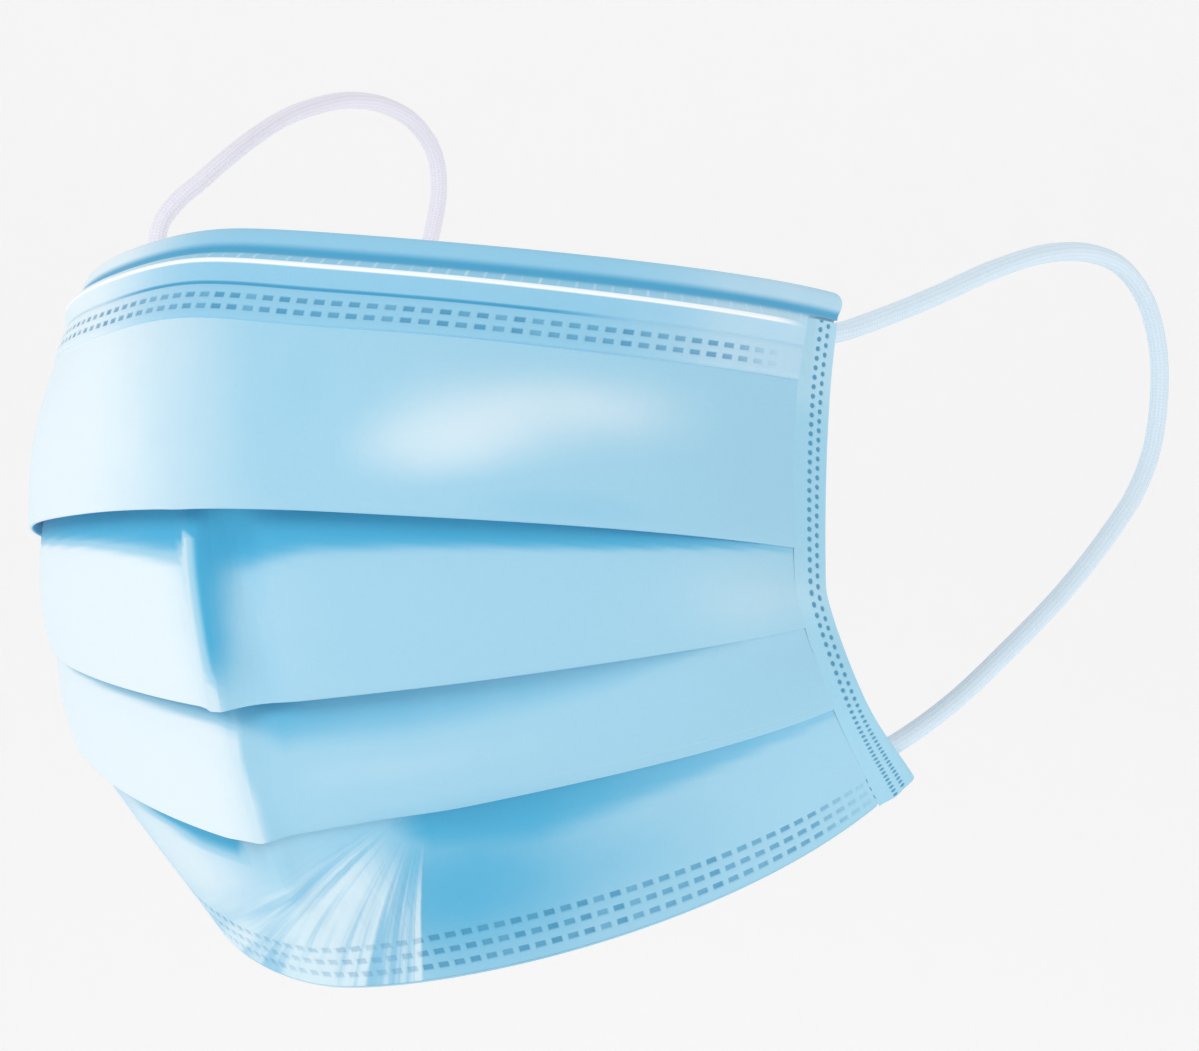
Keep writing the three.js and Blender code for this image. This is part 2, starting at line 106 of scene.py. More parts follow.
class Paint:
    """One procedural material and the nodes that its expressions make."""

    def __init__(self, name: str) -> None:
        """Makes an empty material with a Principled shader."""
        self.material = bpy.data.materials.new(name)
        self.material.use_nodes = True
        self.tree = self.material.node_tree
        self.shader = self.tree.nodes["Principled BSDF"]

    def node(self, kind: str, settings: dict[str, Any], **inputs: Any) -> bpy.types.Node:
        """Adds a node.

        Args:
            kind: the node's type name.
            settings: properties set before its sockets, such as an operation.
            inputs: socket values or links; an underscore stands for a space, and a name such as
                in_2 means the socket of that index.

        Returns:
            The new node.
        """
        node = self.tree.nodes.new(kind)
        for key, value in settings.items():
            setattr(node, key, value)
        for key, value in inputs.items():
            index = int(key[3:]) if key.startswith("in_") else key.replace("_", " ")
            self.feed(node.inputs[index], value)
        return node

    def feed(self, socket: bpy.types.NodeSocket, value: Any) -> None:
        """Feeds a socket.

        Args:
            socket: the socket.
            value: a term to link to it, or the value to set.
        """
        if isinstance(value, Term):
            self.tree.links.new(value.socket, socket)
        else:
            socket.default_value = value

    def math(self, operation: str, first: Number, second: Number = 0.0, clamp: bool = False) -> Term:
        """Returns a Math node's result.

        Args:
            operation: the Math node's operation.
            first: its first number.
            second: its second number.
            clamp: whether the result is held between 0 and 1.

        Returns:
            The result as a term.
        """
        settings = {"operation": operation, "use_clamp": clamp}
        node = self.node("ShaderNodeMath", settings, in_0=first, in_1=second)
        return Term(self, node.outputs[0])

    def band(self, value: Term, low: float, high: float) -> Term:
        """Makes an eased ramp, where low may be above high.

        Args:
            value: the value to ease.
            low: where the ramp is 0.
            high: where it is 1.

        Returns:
            The ramp as a term.
        """
        settings = {"interpolation_type": "SMOOTHSTEP", "clamp": True}
        node = self.node("ShaderNodeMapRange", settings, Value=value, From_Min=low, From_Max=high)
        return Term(self, node.outputs["Result"])

    def inside(self, value: Term, middle: float, half: float, edge: float) -> Term:
        """Returns 1 within half of middle and 0 past it, with soft edges of width edge."""
        away = self.math("ABSOLUTE", value - middle)
        return self.band(away, half + edge / 2.0, half - edge / 2.0)

    def mix(self, share: Number, start: Any, end: Any) -> Term:
        """Mixes two colours.

        Args:
            share: 0 for start and 1 for end.
            start: a colour or a term.
            end: a colour or a term.

        Returns:
            The colour as a term.
        """
        settings = {"data_type": "RGBA"}
        node = self.node("ShaderNodeMix", settings, in_0=share, in_6=rgba(start), in_7=rgba(end))
        return Term(self, node.outputs[2])

    def attribute(self, name: str) -> tuple[Term, Term, Term, Term]:
        """Reads one of the mesh's own attributes.

        Args:
            name: its name.

        Returns:
            Its number, and its x, y and z parts.
        """
        node = self.node("ShaderNodeAttribute", {"attribute_name": name})
        parts = self.node("ShaderNodeSeparateXYZ", {}, Vector=Term(self, node.outputs["Vector"]))
        return (Term(self, node.outputs["Fac"]), *(Term(self, output) for output in parts.outputs))

    def vector(self, x: Number, y: Number, z: Number = 0.0) -> Term:
        """Returns a vector made of three numbers."""
        node = self.node("ShaderNodeCombineXYZ", {}, X=x, Y=y, Z=z)
        return Term(self, node.outputs[0])

    def place(self) -> Term:
        """Returns the Object coordinates, in metres."""
        return Term(self, self.node("ShaderNodeTexCoord", {}).outputs["Object"])

    def noise(self, where: Term, scale: float, detail: float = 2.0) -> Term:
        """Returns a noise value between 0 and 1 at a place."""
        node = self.node("ShaderNodeTexNoise", {}, Vector=where, Scale=scale, Detail=detail)
        return Term(self, node.outputs[0])

    def speckle(self, cell: Term) -> Term:
        """Returns a random number that is the same all over one whole-number cell."""
        node = self.node("ShaderNodeTexWhiteNoise", {"noise_dimensions": "1D"}, W=cell)
        return Term(self, node.outputs["Value"])

    def relief(self, height: Term, distance: float, strength: float = 1.0) -> Term:
        """Returns a normal bumped by a height, of which 1 stands distance metres high."""
        node = self.node("ShaderNodeBump", {}, Height=height, Distance=distance, Strength=strength)
        return Term(self, node.outputs[0])

    def finish(self, **sockets: Any) -> bpy.types.Material:
        """Sets the shader's sockets, an underscore standing for a space, and returns the material."""
        for key, value in sockets.items():
            self.feed(self.shader.inputs[key.replace("_", " ")], value)
        return self.material


def rgba(colour: Any) -> Any:
    """Returns a colour with its alpha, and a term as it is."""
    return colour if isinstance(colour, Term) else (*colour, 1.0)


# Form of the cloth

class ClothLine(NamedTuple):
    """A line across the mask: where it runs, as shares of the mask's sizes."""

    name: str
    down: float
    wide: float
    reach: float
    back: float
    side_z: float
    centre_z: float
    nose: float
    cheek: float
    rise: float


class Pleat(NamedTuple):
    """A pleat on the line of its name: millimetres of tuck and opening, and where it lies flat.

    The chin gathers pull it partly shut: pinch gives from where to where, in shares across, and pull
    how much of its opening they take.
    """

    name: str
    tuck: float
    open: float
    closes: float
    pinch: tuple[float, float] = (0.0, 0.0)
    pull: float = 0.0


class Crease(NamedTuple):
    """A straight crease between two places given as shares across and down, in millimetres."""

    start: tuple[float, float]
    end: tuple[float, float]
    width: float
    height: float


class Swell(NamedTuple):
    """A soft bulge or hollow: its middle and radii in shares, its height in millimetres."""

    across: float
    down: float
    wide: float
    tall: float
    height: float


class PaintedShadingPatch(NamedTuple):
    """A soft patch of painted light (-) or painted shade (+): middle and radii in shares."""

    across: float
    down: float
    wide: float
    tall: float
    amount: float


class Shade(NamedTuple):
    """Painted shade under a pleat at a share across: its reach in millimetres and its amount."""

    across: float
    reach: float
    amount: float


class Streak(NamedTuple):
    """One gather of the chin fan: its place across the fan, half width in fan shares and height."""

    place: float
    half: float
    height: float


LINES = (
    ClothLine("top_edge", 0.00, 0.95, 0.885, -0.02, 0.503, 0.406, 0.42, 0.50, 1.00),
    ClothLine("hem_line", 0.13, 0.955, 1.00, -0.065, 0.314, 0.287, 0.43, 0.52, 0.96),
    ClothLine("pleat_1", 0.36, 1.00, 1.00, -0.152, -0.02, 0.046, 0.42, 0.54, 1.38),
    ClothLine("pleat_2", 0.60, 1.02, 0.872, -0.15, -0.152, -0.211, 0.38, 0.57, 1.16),
    ClothLine("pleat_3", 0.77, 1.03, 0.775, -0.055, -0.302, -0.386, 0.35, 0.60, 1.22),
    ClothLine("bottom", 1.00, 0.895, 0.53, 0.35, -0.48, -0.593, 0.31, 0.64, 2.00),
)
DOWN = {line.name: line.down for line in LINES}
HEM_LINE = DOWN["hem_line"]
PLEATS = (
    Pleat("pleat_1", 8.0, 5.5, 0.92),
    Pleat("pleat_2", 7.0, 4.2, 0.86),
    Pleat("pleat_3", 7.0, 4.6, 0.92, (-0.01, 0.29), 0.8),
)
CREASES = (
    Crease((0.0, 0.37), (0.0, 0.60), 2.6, 1.8),
    Crease((0.005, 0.60), (0.045, 0.86), 3.0, 1.4),
    Crease((0.07, 0.38), (0.085, 0.59), 5.0, -2.8),
)
SWELLS = (
    Swell(0.20, 0.25, 0.10, 0.12, -1.6),
    Swell(0.44, 0.24, 0.14, 0.11, 1.4),
    Swell(-0.22, 0.25, 0.10, 0.12, -1.2),
    Swell(-0.46, 0.25, 0.14, 0.11, 1.2),
    Swell(0.40, 0.52, 0.18, 0.09, 1.0),
    Swell(0.33, 0.70, 0.16, 0.06, 0.8),
)


@dataclass(frozen=True)
class ChinFan:
    """The gathers that spread from one side of the lowest pleat to the bottom edge under the chin.

    They run like rays from an apex. Angles are in degrees down from the line to the wearer's right.
    """

    apex: tuple[float, float] = (0.315, 0.752)
    angles: tuple[float, float] = (17.0, 70.0)
    scale: tuple[float, float] = (104.0, 123.0)
    reach: float = 70.0
    low_fade: tuple[float, float] = (0.90, 0.96)
    streaks: tuple[Streak, ...] = (
        Streak(0.10, 0.050, 0.5), Streak(0.22, 0.040, 0.7), Streak(0.33, 0.035, 0.9),
        Streak(0.44, 0.040, 0.7), Streak(0.54, 0.030, 1.0), Streak(0.64, 0.035, 0.8),
        Streak(0.75, 0.040, 1.1), Streak(0.86, 0.030, 0.8), Streak(0.96, 0.040, 1.1),
    )

    def coordinates(self, across: Array, down: Array) -> tuple[Array, Array]:
        """Finds places in the fan.

        Args:
            across: shares across.
            down: shares down.

        Returns:
            The share across the fan, from its left border to its right one, and the share along it.
        """
        aside = (self.apex[0] - across) * self.scale[0]
        below = (down - self.apex[1]) * self.scale[1]
        low, high = self.angles
        turn = (np.degrees(np.arctan2(below, aside)) - low) / (high - low)
        return turn, np.hypot(aside, below) / self.reach

    def height(self, across: Array, down: Array) -> Array:
        """Works out how far the gathers stand out.

        Args:
            across: shares across.
            down: shares down.

        Returns:
            Heights in millimetres.
        """
        turn, along = self.coordinates(across, down)
        sides = smooth_step(turn, -0.05, 0.15) * (1.0 - smooth_step(turn, 0.99, 1.05))
        ends = smooth_step(along, 0.06, 0.3) * (1.0 - smooth_step(down, *self.low_fade))
        ridges = sum(s.height * np.exp(-(((turn - s.place) / s.half) ** 2)) for s in self.streaks)
        return sides * ends * ridges * 0.7


@dataclass(frozen=True)
class FaceForm:
    """The middle surface of the cloth as it stands round a face, with its creases."""

    half_width: float = 70.0
    front_reach: float = 70.0
    side_height: float = 73.0
    centre_height: float = 112.0
    nose_round: float = 0.12
    round_to: float = 0.30
    point_from: float = 0.55
    fan: ChinFan = field(default_factory=ChinFan)

    def rounded_share(self, out: Array, down: Array) -> Array:
        """Returns the share across, eased at the middle where the cloth runs smoothly over the nose."""
        soft = self.nose_round * (1.0 - smooth_step(down, self.round_to, self.point_from))
        return (np.hypot(out, soft) - soft) / (np.hypot(1.0, soft) - soft)

    def line_values(self, down: Array) -> Array:
        """Reads the table of lines, eased between its rows.

        Args:
            down: shares down.

        Returns:
            The table's columns after down, along a last axis.
        """
        stops = np.array([line.down for line in LINES])
        table = np.array([line[2:] for line in LINES])
        span = np.diff(stops)[:, None]
        slope = np.diff(table, axis=0) / span
        inner = (slope[:-1] * span[1:] + slope[1:] * span[:-1]) / (span[:-1] + span[1:])
        slopes = np.vstack([slope[:1], inner, slope[-1:]])
        index = np.clip(np.searchsorted(stops, down, side="right") - 1, 0, len(span) - 1)
        share = ((down - stops[index]) / span[index, 0])[..., None]
        t = np.clip(share, 0.0, 1.0)
        leave, arrive = slopes[index] * span[index], slopes[index + 1] * span[index]
        values = (2 * t**3 - 3 * t**2 + 1) * table[index] + (t**3 - 2 * t**2 + t) * leave
        values += (3 * t**2 - 2 * t**3) * table[index + 1] + (t**3 - t**2) * arrive
        return values + np.minimum(share, 0.0) * leave + np.maximum(share - 1.0, 0.0) * arrive

    def point(self, across: Array, down: Array) -> Array:
        """Finds places on the smooth middle surface.

        Args:
            across: shares across.
            down: shares down.

        Returns:
            Places in millimetres.
        """
        across, down = np.broadcast_arrays(np.asarray(across, float), np.asarray(down, float))
        columns = np.moveaxis(self.line_values(down), -1, 0)
        wide, reach, back, side_z, centre_z, nose, cheek, rise = columns
        wide, reach, back = wide * self.half_width, reach * self.front_reach, back * self.front_reach
        side_z, centre_z = side_z * self.side_height, centre_z * self.centre_height
        out = np.abs(across)
        left = 1.0 - out
        x = np.sign(across) * wide * (3 * left**2 * out * nose + 3 * left * out**2 + out**3)
        y = -reach * (left**3 + 3 * left**2 * out)
        y += 3 * left * out**2 * (back - cheek * (reach + back)) + back * out**3
        z = centre_z + (side_z - centre_z) * self.rounded_share(out, down)**rise
        return np.stack([x, y, z], axis=-1)

    def normal(self, across: Array, down: Array) -> Array:
        """Finds the outward direction of the middle surface.

        Args:
            across: shares across.
            down: shares down.

        Returns:
            Directions of length 1.
        """
        step = 1e-3
        along_down = self.point(across, down + step) - self.point(across, down - step)
        along_across = self.point(across + step, down) - self.point(across - step, down)
        facing = np.cross(along_down, along_across)
        return facing / np.linalg.norm(facing, axis=-1, keepdims=True)

    def length(self, start: tuple[float, float], end: tuple[float, float]) -> float:
        """Measures a line on the surface.

        Args:
            start: its start, as shares across and down.
            end: its end, in the same way.

        Returns:
            The length in millimetres.
        """
        share = np.linspace(0.0, 1.0, 101)
        path = self.point(*(a + (b - a) * share for a, b in zip(start, end)))
        return float(np.linalg.norm(np.diff(path, axis=0), axis=1).sum())

    @cached_property
    def down_length(self) -> float:
        """Length down the middle of the mask."""
        return self.length((0.0, 0.0), (0.0, 1.0))

    @cached_property
    def across_length(self) -> float:
        """Length from the middle to a side edge, along the hem line."""
        return self.length((0.0, HEM_LINE), (1.0, HEM_LINE))

    @cached_property
    def side_stretch(self) -> float:
        """Millimetres for a share of 1 across, beside a side edge."""
        sample = 0.1
        return self.length((1.0 - sample, 0.5), (1.0, 0.5)) / sample

    def shares_at(self, down: float, lengths: Array) -> Array:
        """Finds the shares across at lengths from the middle.

        Args:
            down: share down of the line they are measured along.
            lengths: lengths in millimetres.

        Returns:
            Shares across, one for each length.
        """
        share = np.linspace(-1.0, 1.0, 801)
        path = self.point(share, np.full_like(share, down))
        run = np.concatenate([[0.0], np.linalg.norm(np.diff(path, axis=0), axis=1).cumsum()])
        return np.interp(lengths, run - run[len(run) // 2], share)

    def crease_height(self, across: Array, down: Array) -> Array:
        """Adds up the heights of all creases, swells and gathers.

        Args:
            across: shares across.
            down: shares down.

        Returns:
            Heights in millimetres.
        """
        fade = 0.15
        scale = np.array([self.across_length, self.down_length])
        place = np.stack([across, down], axis=-1) * scale
        height = self.fan.height(across, down)
        for crease in CREASES:
            start = np.array(crease.start) * scale
            run = np.array(crease.end) * scale - start
            away = place - start
            share = away @ run / (run @ run)
            off = np.abs(away[..., 0] * run[1] - away[..., 1] * run[0]) / np.linalg.norm(run)
            ends = smooth_step(share, -fade, fade) * (1.0 - smooth_step(share, 1.0 - fade, 1.0 + fade))
            height = height + crease.height * ends * np.exp(-((off / crease.width) ** 2))
        for swell in SWELLS:
            out = ((across - swell.across) / swell.wide) ** 2 + ((down - swell.down) / swell.tall) ** 2
            height = height + swell.height * np.exp(-out)
        return height

    def place(self, across: Array, down: Array, off: Array) -> Array:
        """Finds places outside the creased cloth.

        Args:
            across: shares across.
            down: shares down.
            off: millimetres outwards.

        Returns:
            Places in metres.
        """
        across, down, off = np.broadcast_arrays(across, down, off)
        lift = off + self.crease_height(across, down)
        return (self.point(across, down) + self.normal(across, down) * lift[..., None]) * MM


# Meshes

@dataclass
class Skin:
    """One face of a cloth piece as a grid of shares across, shares down and heights."""

    across: Array
    down: Array
    off: Array
    # Painted light (below 0) and painted shade (above 0) at the points.
    tone: Array | float = 0.0
    fan: Array | None = None


class Face(Enum):
    """Which face of the cloth a point belongs to, as the pattern attribute keeps it."""

    OUTER = 1.0
    INNER = 0.0


def select_only(piece: bpy.types.Object) -> None:
    """Makes one object the only selected and active one."""
    bpy.ops.object.select_all(action="DESELECT")
    piece.select_set(True)
    bpy.context.view_layer.objects.active = piece


def make_mesh(name: str, points: Array, faces: Array, attributes: dict[str, Array]) -> bpy.types.Object:
    """Makes a mesh object in the scene.

    Args:
        name: the piece's name.
        points: its points in metres, one row each.
        faces: its faces as rows of point numbers.
        attributes: values kept on its points, numbers or rows of three.

    Returns:
        The object, smooth where its faces turn gently.
    """
    sharp_turn = math.radians(50.0)
    mesh = bpy.data.meshes.new(name)
    mesh.from_pydata(points.reshape(-1, 3).tolist(), [], faces.tolist())
    for key, values in attributes.items():
        kind, slot = ("FLOAT_VECTOR", "vector") if values.ndim == 2 else ("FLOAT", "value")
        layer = mesh.attributes.new(key, kind, "POINT")
        layer.data.foreach_set(slot, values.astype(np.float32).ravel())
    piece = bpy.data.objects.new(name, mesh)
    bpy.context.scene.collection.objects.link(piece)
    select_only(piece)
    bpy.ops.object.shade_smooth_by_angle(angle=sharp_turn)
    return piece


@dataclass
class ClothShell:
    """A closed thin wall between an outer and an inner face laid over the mask's form."""

    form: FaceForm
    name: str
    outer: Skin
    inner: Skin
    lengths: Array
    present: Array | None = None

    def build(self) -> bpy.types.Object:
        """Builds the wall, with the pattern attribute and the painted light and shade on its points.

        Returns:
            The wall as an object.
        """
        rows, columns = self.outer.across.shape
        cells = np.ones((rows - 1, columns - 1), bool) if self.present is None else self.present
        number = np.arange(rows * columns).reshape(rows, columns)
        corners = [number[:-1, :-1], number[1:, :-1], number[1:, 1:], number[:-1, 1:]]
        front = np.stack([corner[cells] for corner in corners], axis=1)
        back = front[:, ::-1] + rows * columns
        faces = [front, back, *self.borders(cells, corners, rows * columns)]
        points, pattern, tone, fan = [], [], [], []
        for skin, side in ((self.outer, Face.OUTER), (self.inner, Face.INNER)):
            points.append(self.form.place(skin.across, skin.down, skin.off).reshape(-1, 3))
            along = np.broadcast_to(self.lengths, skin.down.shape)
            face = np.full(skin.down.shape, side.value)
            pattern.append(np.stack([along, skin.down * self.form.down_length, face], -1).reshape(-1, 3))
            tone.append(np.broadcast_to(skin.tone, skin.down.shape).ravel())
            if skin.fan is not None:
                fan.append(skin.fan.reshape(-1, 3))
        points, pattern, tone = map(np.concatenate, (points, pattern, tone))
        used, faces = np.unique(np.vstack(faces), return_inverse=True)
        attributes = {"pattern": pattern[used], "tone": tone[used]}
        if fan:
            attributes["fan"] = np.concatenate(fan)[used]
        return make_mesh(self.name, points[used], faces.reshape(-1, 4), attributes)

    @staticmethod
    def borders(cells: Array, corners: list[Array], layer: int) -> list[Array]:
        """Returns the side faces along every border of the cells that are present.

        Args:
            cells: which cells are present.
            corners: point numbers of the four corners of every cell.
            layer: how many points lie before the inner face's.

        Returns:
            Rows of four point numbers for each of the four sides.
        """
        padded = np.pad(cells, 1)
        beside = [padded[1:-1, :-2], padded[2:, 1:-1], padded[1:-1, 2:], padded[:-2, 1:-1]]
        found = []
        for side, neighbour in enumerate(beside):
            edge = cells & ~neighbour
            start, end = corners[side][edge], corners[(side + 1) % 4][edge]
            found.append(np.stack([end, start, start + layer, end + layer], axis=1))
        return found


@dataclass(frozen=True)
class DashRows:
    """Welded rows of dashes, in millimetres."""

    rows: tuple[float, ...]
    pitch: float
    dash: float
    tall: float
    depth: float
    soft: float = 0.2

    def columns(self, half_length: float) -> Array:
        """Finds where mesh columns meet the dashes' ends.

        Args:
            half_length: length from the middle to the last column.

        Returns:
            Lengths from the middle.
        """
        ends = self.dash / 2.0 + np.array([-self.soft, self.soft]) / 2.0
        offsets = np.concatenate([-ends[::-1], ends])
        count = int(half_length / self.pitch) + 1
        lengths = (np.arange(-count, count + 1)[:, None] * self.pitch + offsets).ravel()
        lengths = lengths[np.abs(lengths) < half_length - self.soft]
        return np.concatenate([[-half_length], lengths, [half_length]])

    def levels(self) -> list[float]:
        """Returns the places down where mesh rows meet the dashes' long sides."""
        half, soft = self.tall / 2.0, self.soft / 2.0
        steps = (-half - soft, -half + soft, half - soft, half + soft)
        return [row + step for row in self.rows for step in steps]

    def pressed(self, lengths: Array, level: Array) -> Array:
        """Works out how deep the cloth is pressed.

        Args:
            lengths: lengths from the middle.
            level: distances from the edge that the rows follow.

        Returns:
            Depths in millimetres.
        """
        along = np.abs((lengths / self.pitch + 0.5) % 1.0 - 0.5) * self.pitch
        half_dash, half_tall, soft = self.dash / 2.0, self.tall / 2.0, self.soft / 2.0
        mask = 1.0 - smooth_step(along, half_dash - soft, half_dash + soft)
        rows = sum(1.0 - smooth_step(np.abs(level - row), half_tall - soft, half_tall + soft)
                   for row in self.rows)
        return self.depth * mask * rows


TOP_DASHES = DashRows(rows=(12.2, 14.1), pitch=2.6, dash=1.55, tall=0.8, depth=0.16)
BOTTOM_DASHES = DashRows(rows=(7.6, 5.2, 2.8), pitch=2.5, dash=1.55, tall=0.95, depth=0.18)


# Finishes

MATT_CLOTH = {"Sheen_Roughness": 0.4, "Specular_IOR_Level": 0.3}


class SoftLine(NamedTuple):
    """A line with soft edges: its middle, half its width and the width of its edges."""

    middle: float
    half: float
    edge: float


@dataclass(frozen=True)
class GatherFinish:
    """Fine streaks over the gathers of the chin fan, placed in shares across and along the fan: painted
    highlights on the gathers and painted shade between them.
    """

    # Colours of the painted shade between the gathers and of the painted highlights on them.
    deep: Colour
    painted_light: Colour
    left_side: tuple[float, float] = (-0.06, 0.16)
    right_side: tuple[float, float] = (1.012, 0.988)
    start: tuple[float, float] = (0.10, 0.30)
    fine: tuple[float, float, float] = (19.0, 1.4, 0.0)
    broad: tuple[float, float, float] = (8.0, 1.6, 4.0)
    # Where the painted highlight of the rim, the painted light and the painted shade lie across the fan.
    rim: SoftLine = SoftLine(0.975, 0.012, 0.03)
    bright_part: SoftLine = SoftLine(0.45, 0.20, 0.30)
    dull_part: SoftLine = SoftLine(0.84, 0.07, 0.10)
    contrast: tuple[float, float] = (0.38, 0.62)
    cover: float = 0.85
    relief: float = 2.0
    weld_loss: float = 0.6

    def shares(self, paint: Paint) -> tuple[Term, Term]:
        """Works out the streaks.

        Args:
            paint: the material being made.

        Returns:
            How bright the streaks are, and how far a place is in the fan.
        """
        _, turn, along, shown = paint.attribute("fan")
        sides = paint.band(turn, *self.left_side) * paint.band(turn, *self.right_side)
        ends = paint.band(along, *self.start) * shown
        fine, broad = (
            paint.noise(paint.vector(turn * across, along * down, shift), 1.0, detail)
            for (across, down, shift), detail in ((self.fine, 3.0), (self.broad, 1.0)))
        # Painted highlight along the rim, painted light over the fan's middle and painted shade towards
        # its right side.
        rim = paint.inside(turn, *self.rim) * 0.5
        painted_light = paint.inside(turn, *self.bright_part) * 0.11 - paint.inside(turn, *self.dull_part) * 0.08
        level = fine * 0.55 + broad * 0.45 + rim + painted_light
        return paint.band(level, *self.contrast), sides * ends


@dataclass(frozen=True)
class ClothFinish:
    """Light blue nonwoven, white inside, with its fibres, bond points and welded dashes, and painted
    light and shade.
    """

    name: str
    # Colours of painted light, of the cloth itself, and of painted shade.
    painted_light: Colour = srgb(226, 240, 247)
    plain: Colour = srgb(160, 209, 232)
    deep: Colour = srgb(75, 175, 216)
    inside: Colour = srgb(232, 237, 240)
    weld: Colour = srgb(64, 146, 186)
    roughness: float = 0.82
    sheen: float = 0.12
    dashes: DashRows | None = None
    fan: GatherFinish | None = None
    from_bottom: bool = False
    half_length: float = 92.0
    blotch_scale: float = 90.0
    blotch: float = 0.16
    fibre_scales: tuple[float, float] = (2600.0, 700.0)
    bond_scale: float = 900.0
    bond_edge: tuple[float, float] = (0.32, 0.2)
    bond_depth: float = 0.35
    weld_soft: float = 0.25
    weld_spread: float = 0.35
    weld_fade: float = 14.0
    weld_outside: float = 0.65
    weld_through: float = 0.2

    def cloth(self, paint: Paint, tone: Term, side: Term) -> Term:
        """Returns the colour of the cloth, with its painted light and shade.

        Args:
            paint: the material being made.
            tone: painted light below 0, painted shade above 0.
            side: 1 on the outer face and 0 on the inner one.

        Returns:
            The colour as a term.
        """
        blotch = paint.noise(paint.place(), self.blotch_scale, 3.0) - 0.5
        level = tone + blotch * self.blotch
        # Painted light where the shading value is below 0, painted shade where it is above 0.
        blue = paint.mix(paint.band(level * -1.0, 0.0, 1.0), self.plain, self.painted_light)
        blue = paint.mix(paint.band(level, 0.0, 1.0), blue, self.deep)
        return paint.mix(side, self.inside, blue)

    def grain(self, paint: Paint) -> Term:
        """Makes fibres and bond points.

        Args:
            paint: the material being made.

        Returns:
            Their height as a term.
        """
        where = paint.place()
        small, large = self.fibre_scales
        fibres = paint.noise(where, small, 2.0) * 0.5 + paint.noise(where, large, 3.0) * 0.5
        bonds = paint.node("ShaderNodeTexVoronoi", {"feature": "F1"}, Vector=where,
                           Scale=self.bond_scale, Randomness=0.35)
        pressed = paint.band(Term(paint, bonds.outputs["Distance"]), *self.bond_edge)
        return fibres - pressed * self.bond_depth

    def weld_mask(self, paint: Paint, along: Term, level: Term) -> Term:
        """Finds the welded dashes.

        Args:
            paint: the material being made.
            along: length from the middle.
            level: distance from the edge.

        Returns:
            0 beside the dashes, and in each one its own strength.
        """
        dashes = self.dashes
        turns = along / dashes.pitch + 0.5
        cell = paint.math("FLOOR", turns)
        place = (paint.math("FRACT", turns) - 0.5) * dashes.pitch
        soft, half_tall = self.weld_soft, dashes.tall / 2.0
        mask = paint.inside(place, 0.0, dashes.dash / 2.0, soft)
        rows = sum((paint.inside(level, row, half_tall, soft) for row in dashes.rows), 0.0)
        strength = paint.speckle(cell) * self.weld_spread + (1.0 - self.weld_spread)
        fade = self.half_length - self.weld_fade
        ends = paint.band(paint.math("ABSOLUTE", along), self.half_length, fade)
        return mask * rows * strength * ends

    def welded(self, paint: Paint, colour: Term, weld: Term, side: Term) -> Term:
        """Darkens the cloth where it is welded.

        Args:
            paint: the material being made.
            colour: the cloth's colour.
            weld: where the welds are.
            side: 1 on the outer face and 0 on the inner one.

        Returns:
            The colour as a term.
        """
        return paint.mix(weld * (side * self.weld_outside + self.weld_through), colour, self.weld)

    def build(self) -> bpy.types.Material:
        """Makes the material.

        Returns:
            The material.
        """
        paint = Paint(self.name)
        _, along, down, side = paint.attribute("pattern")
        tone = paint.attribute("tone")[0]
        colour = self.cloth(paint, tone, side)
        height = self.grain(paint)
        if self.fan:
            # Painted highlights and painted shade of the chin gathers' streaks, over a small relief.
            bright, inside = self.fan.shares(paint)
            streaks = paint.mix(bright, self.fan.deep, self.fan.painted_light)
            colour = paint.mix(inside * side * self.fan.cover, colour, streaks)
            height = height + bright * inside * self.fan.relief
        if self.dashes:
            level = FaceForm().down_length - down if self.from_bottom else down
            weld = self.weld_mask(paint, along, level)
            if self.fan:
                weld = weld * (1.0 - inside * self.fan.weld_loss)
            colour = self.welded(paint, colour, weld, side)
            height = height * (1.0 - weld) - weld
        rough = paint.noise(paint.place(), 1200.0) * 0.12 + (self.roughness - 0.06)
        return paint.finish(
            Base_Color=colour, Roughness=rough, Normal=paint.relief(height, 0.00006, 0.6),
            Sheen_Weight=self.sheen, **MATT_CLOTH)


@dataclass(frozen=True)
class BindingFinish(ClothFinish):
    """The binding's nonwoven, with two staggered rows of round welds along the side edge."""

    rows: tuple[float, float] = (2.5, 4.0)
    pitch: float = 1.45
    dot: float = 0.36

    def build(self) -> bpy.types.Material:
        """Makes the material.

        Returns:
            The material.
        """
        paint = Paint(self.name)
        _, along, edge, side = paint.attribute("pattern")
        tone = paint.attribute("tone")[0]
        dots: Number = 0.0
        for row, shift in zip(self.rows, (0.0, 0.5)):
            place = (paint.math("FRACT", along / self.pitch + shift) - 0.5) * self.pitch
            off = edge - row
            away = paint.math("SQRT", place * place + off * off)
            dots = dots + paint.band(away, self.dot + 0.12, self.dot - 0.1)
        colour = paint.mix(dots * (side * 0.6 + 0.3), self.cloth(paint, tone, side), self.weld)
        height = self.grain(paint) * (1.0 - dots) - dots
        return paint.finish(
            Base_Color=colour, Roughness=self.roughness, Normal=paint.relief(height, 0.00008, 0.7),
            Sheen_Weight=self.sheen, **MATT_CLOTH)


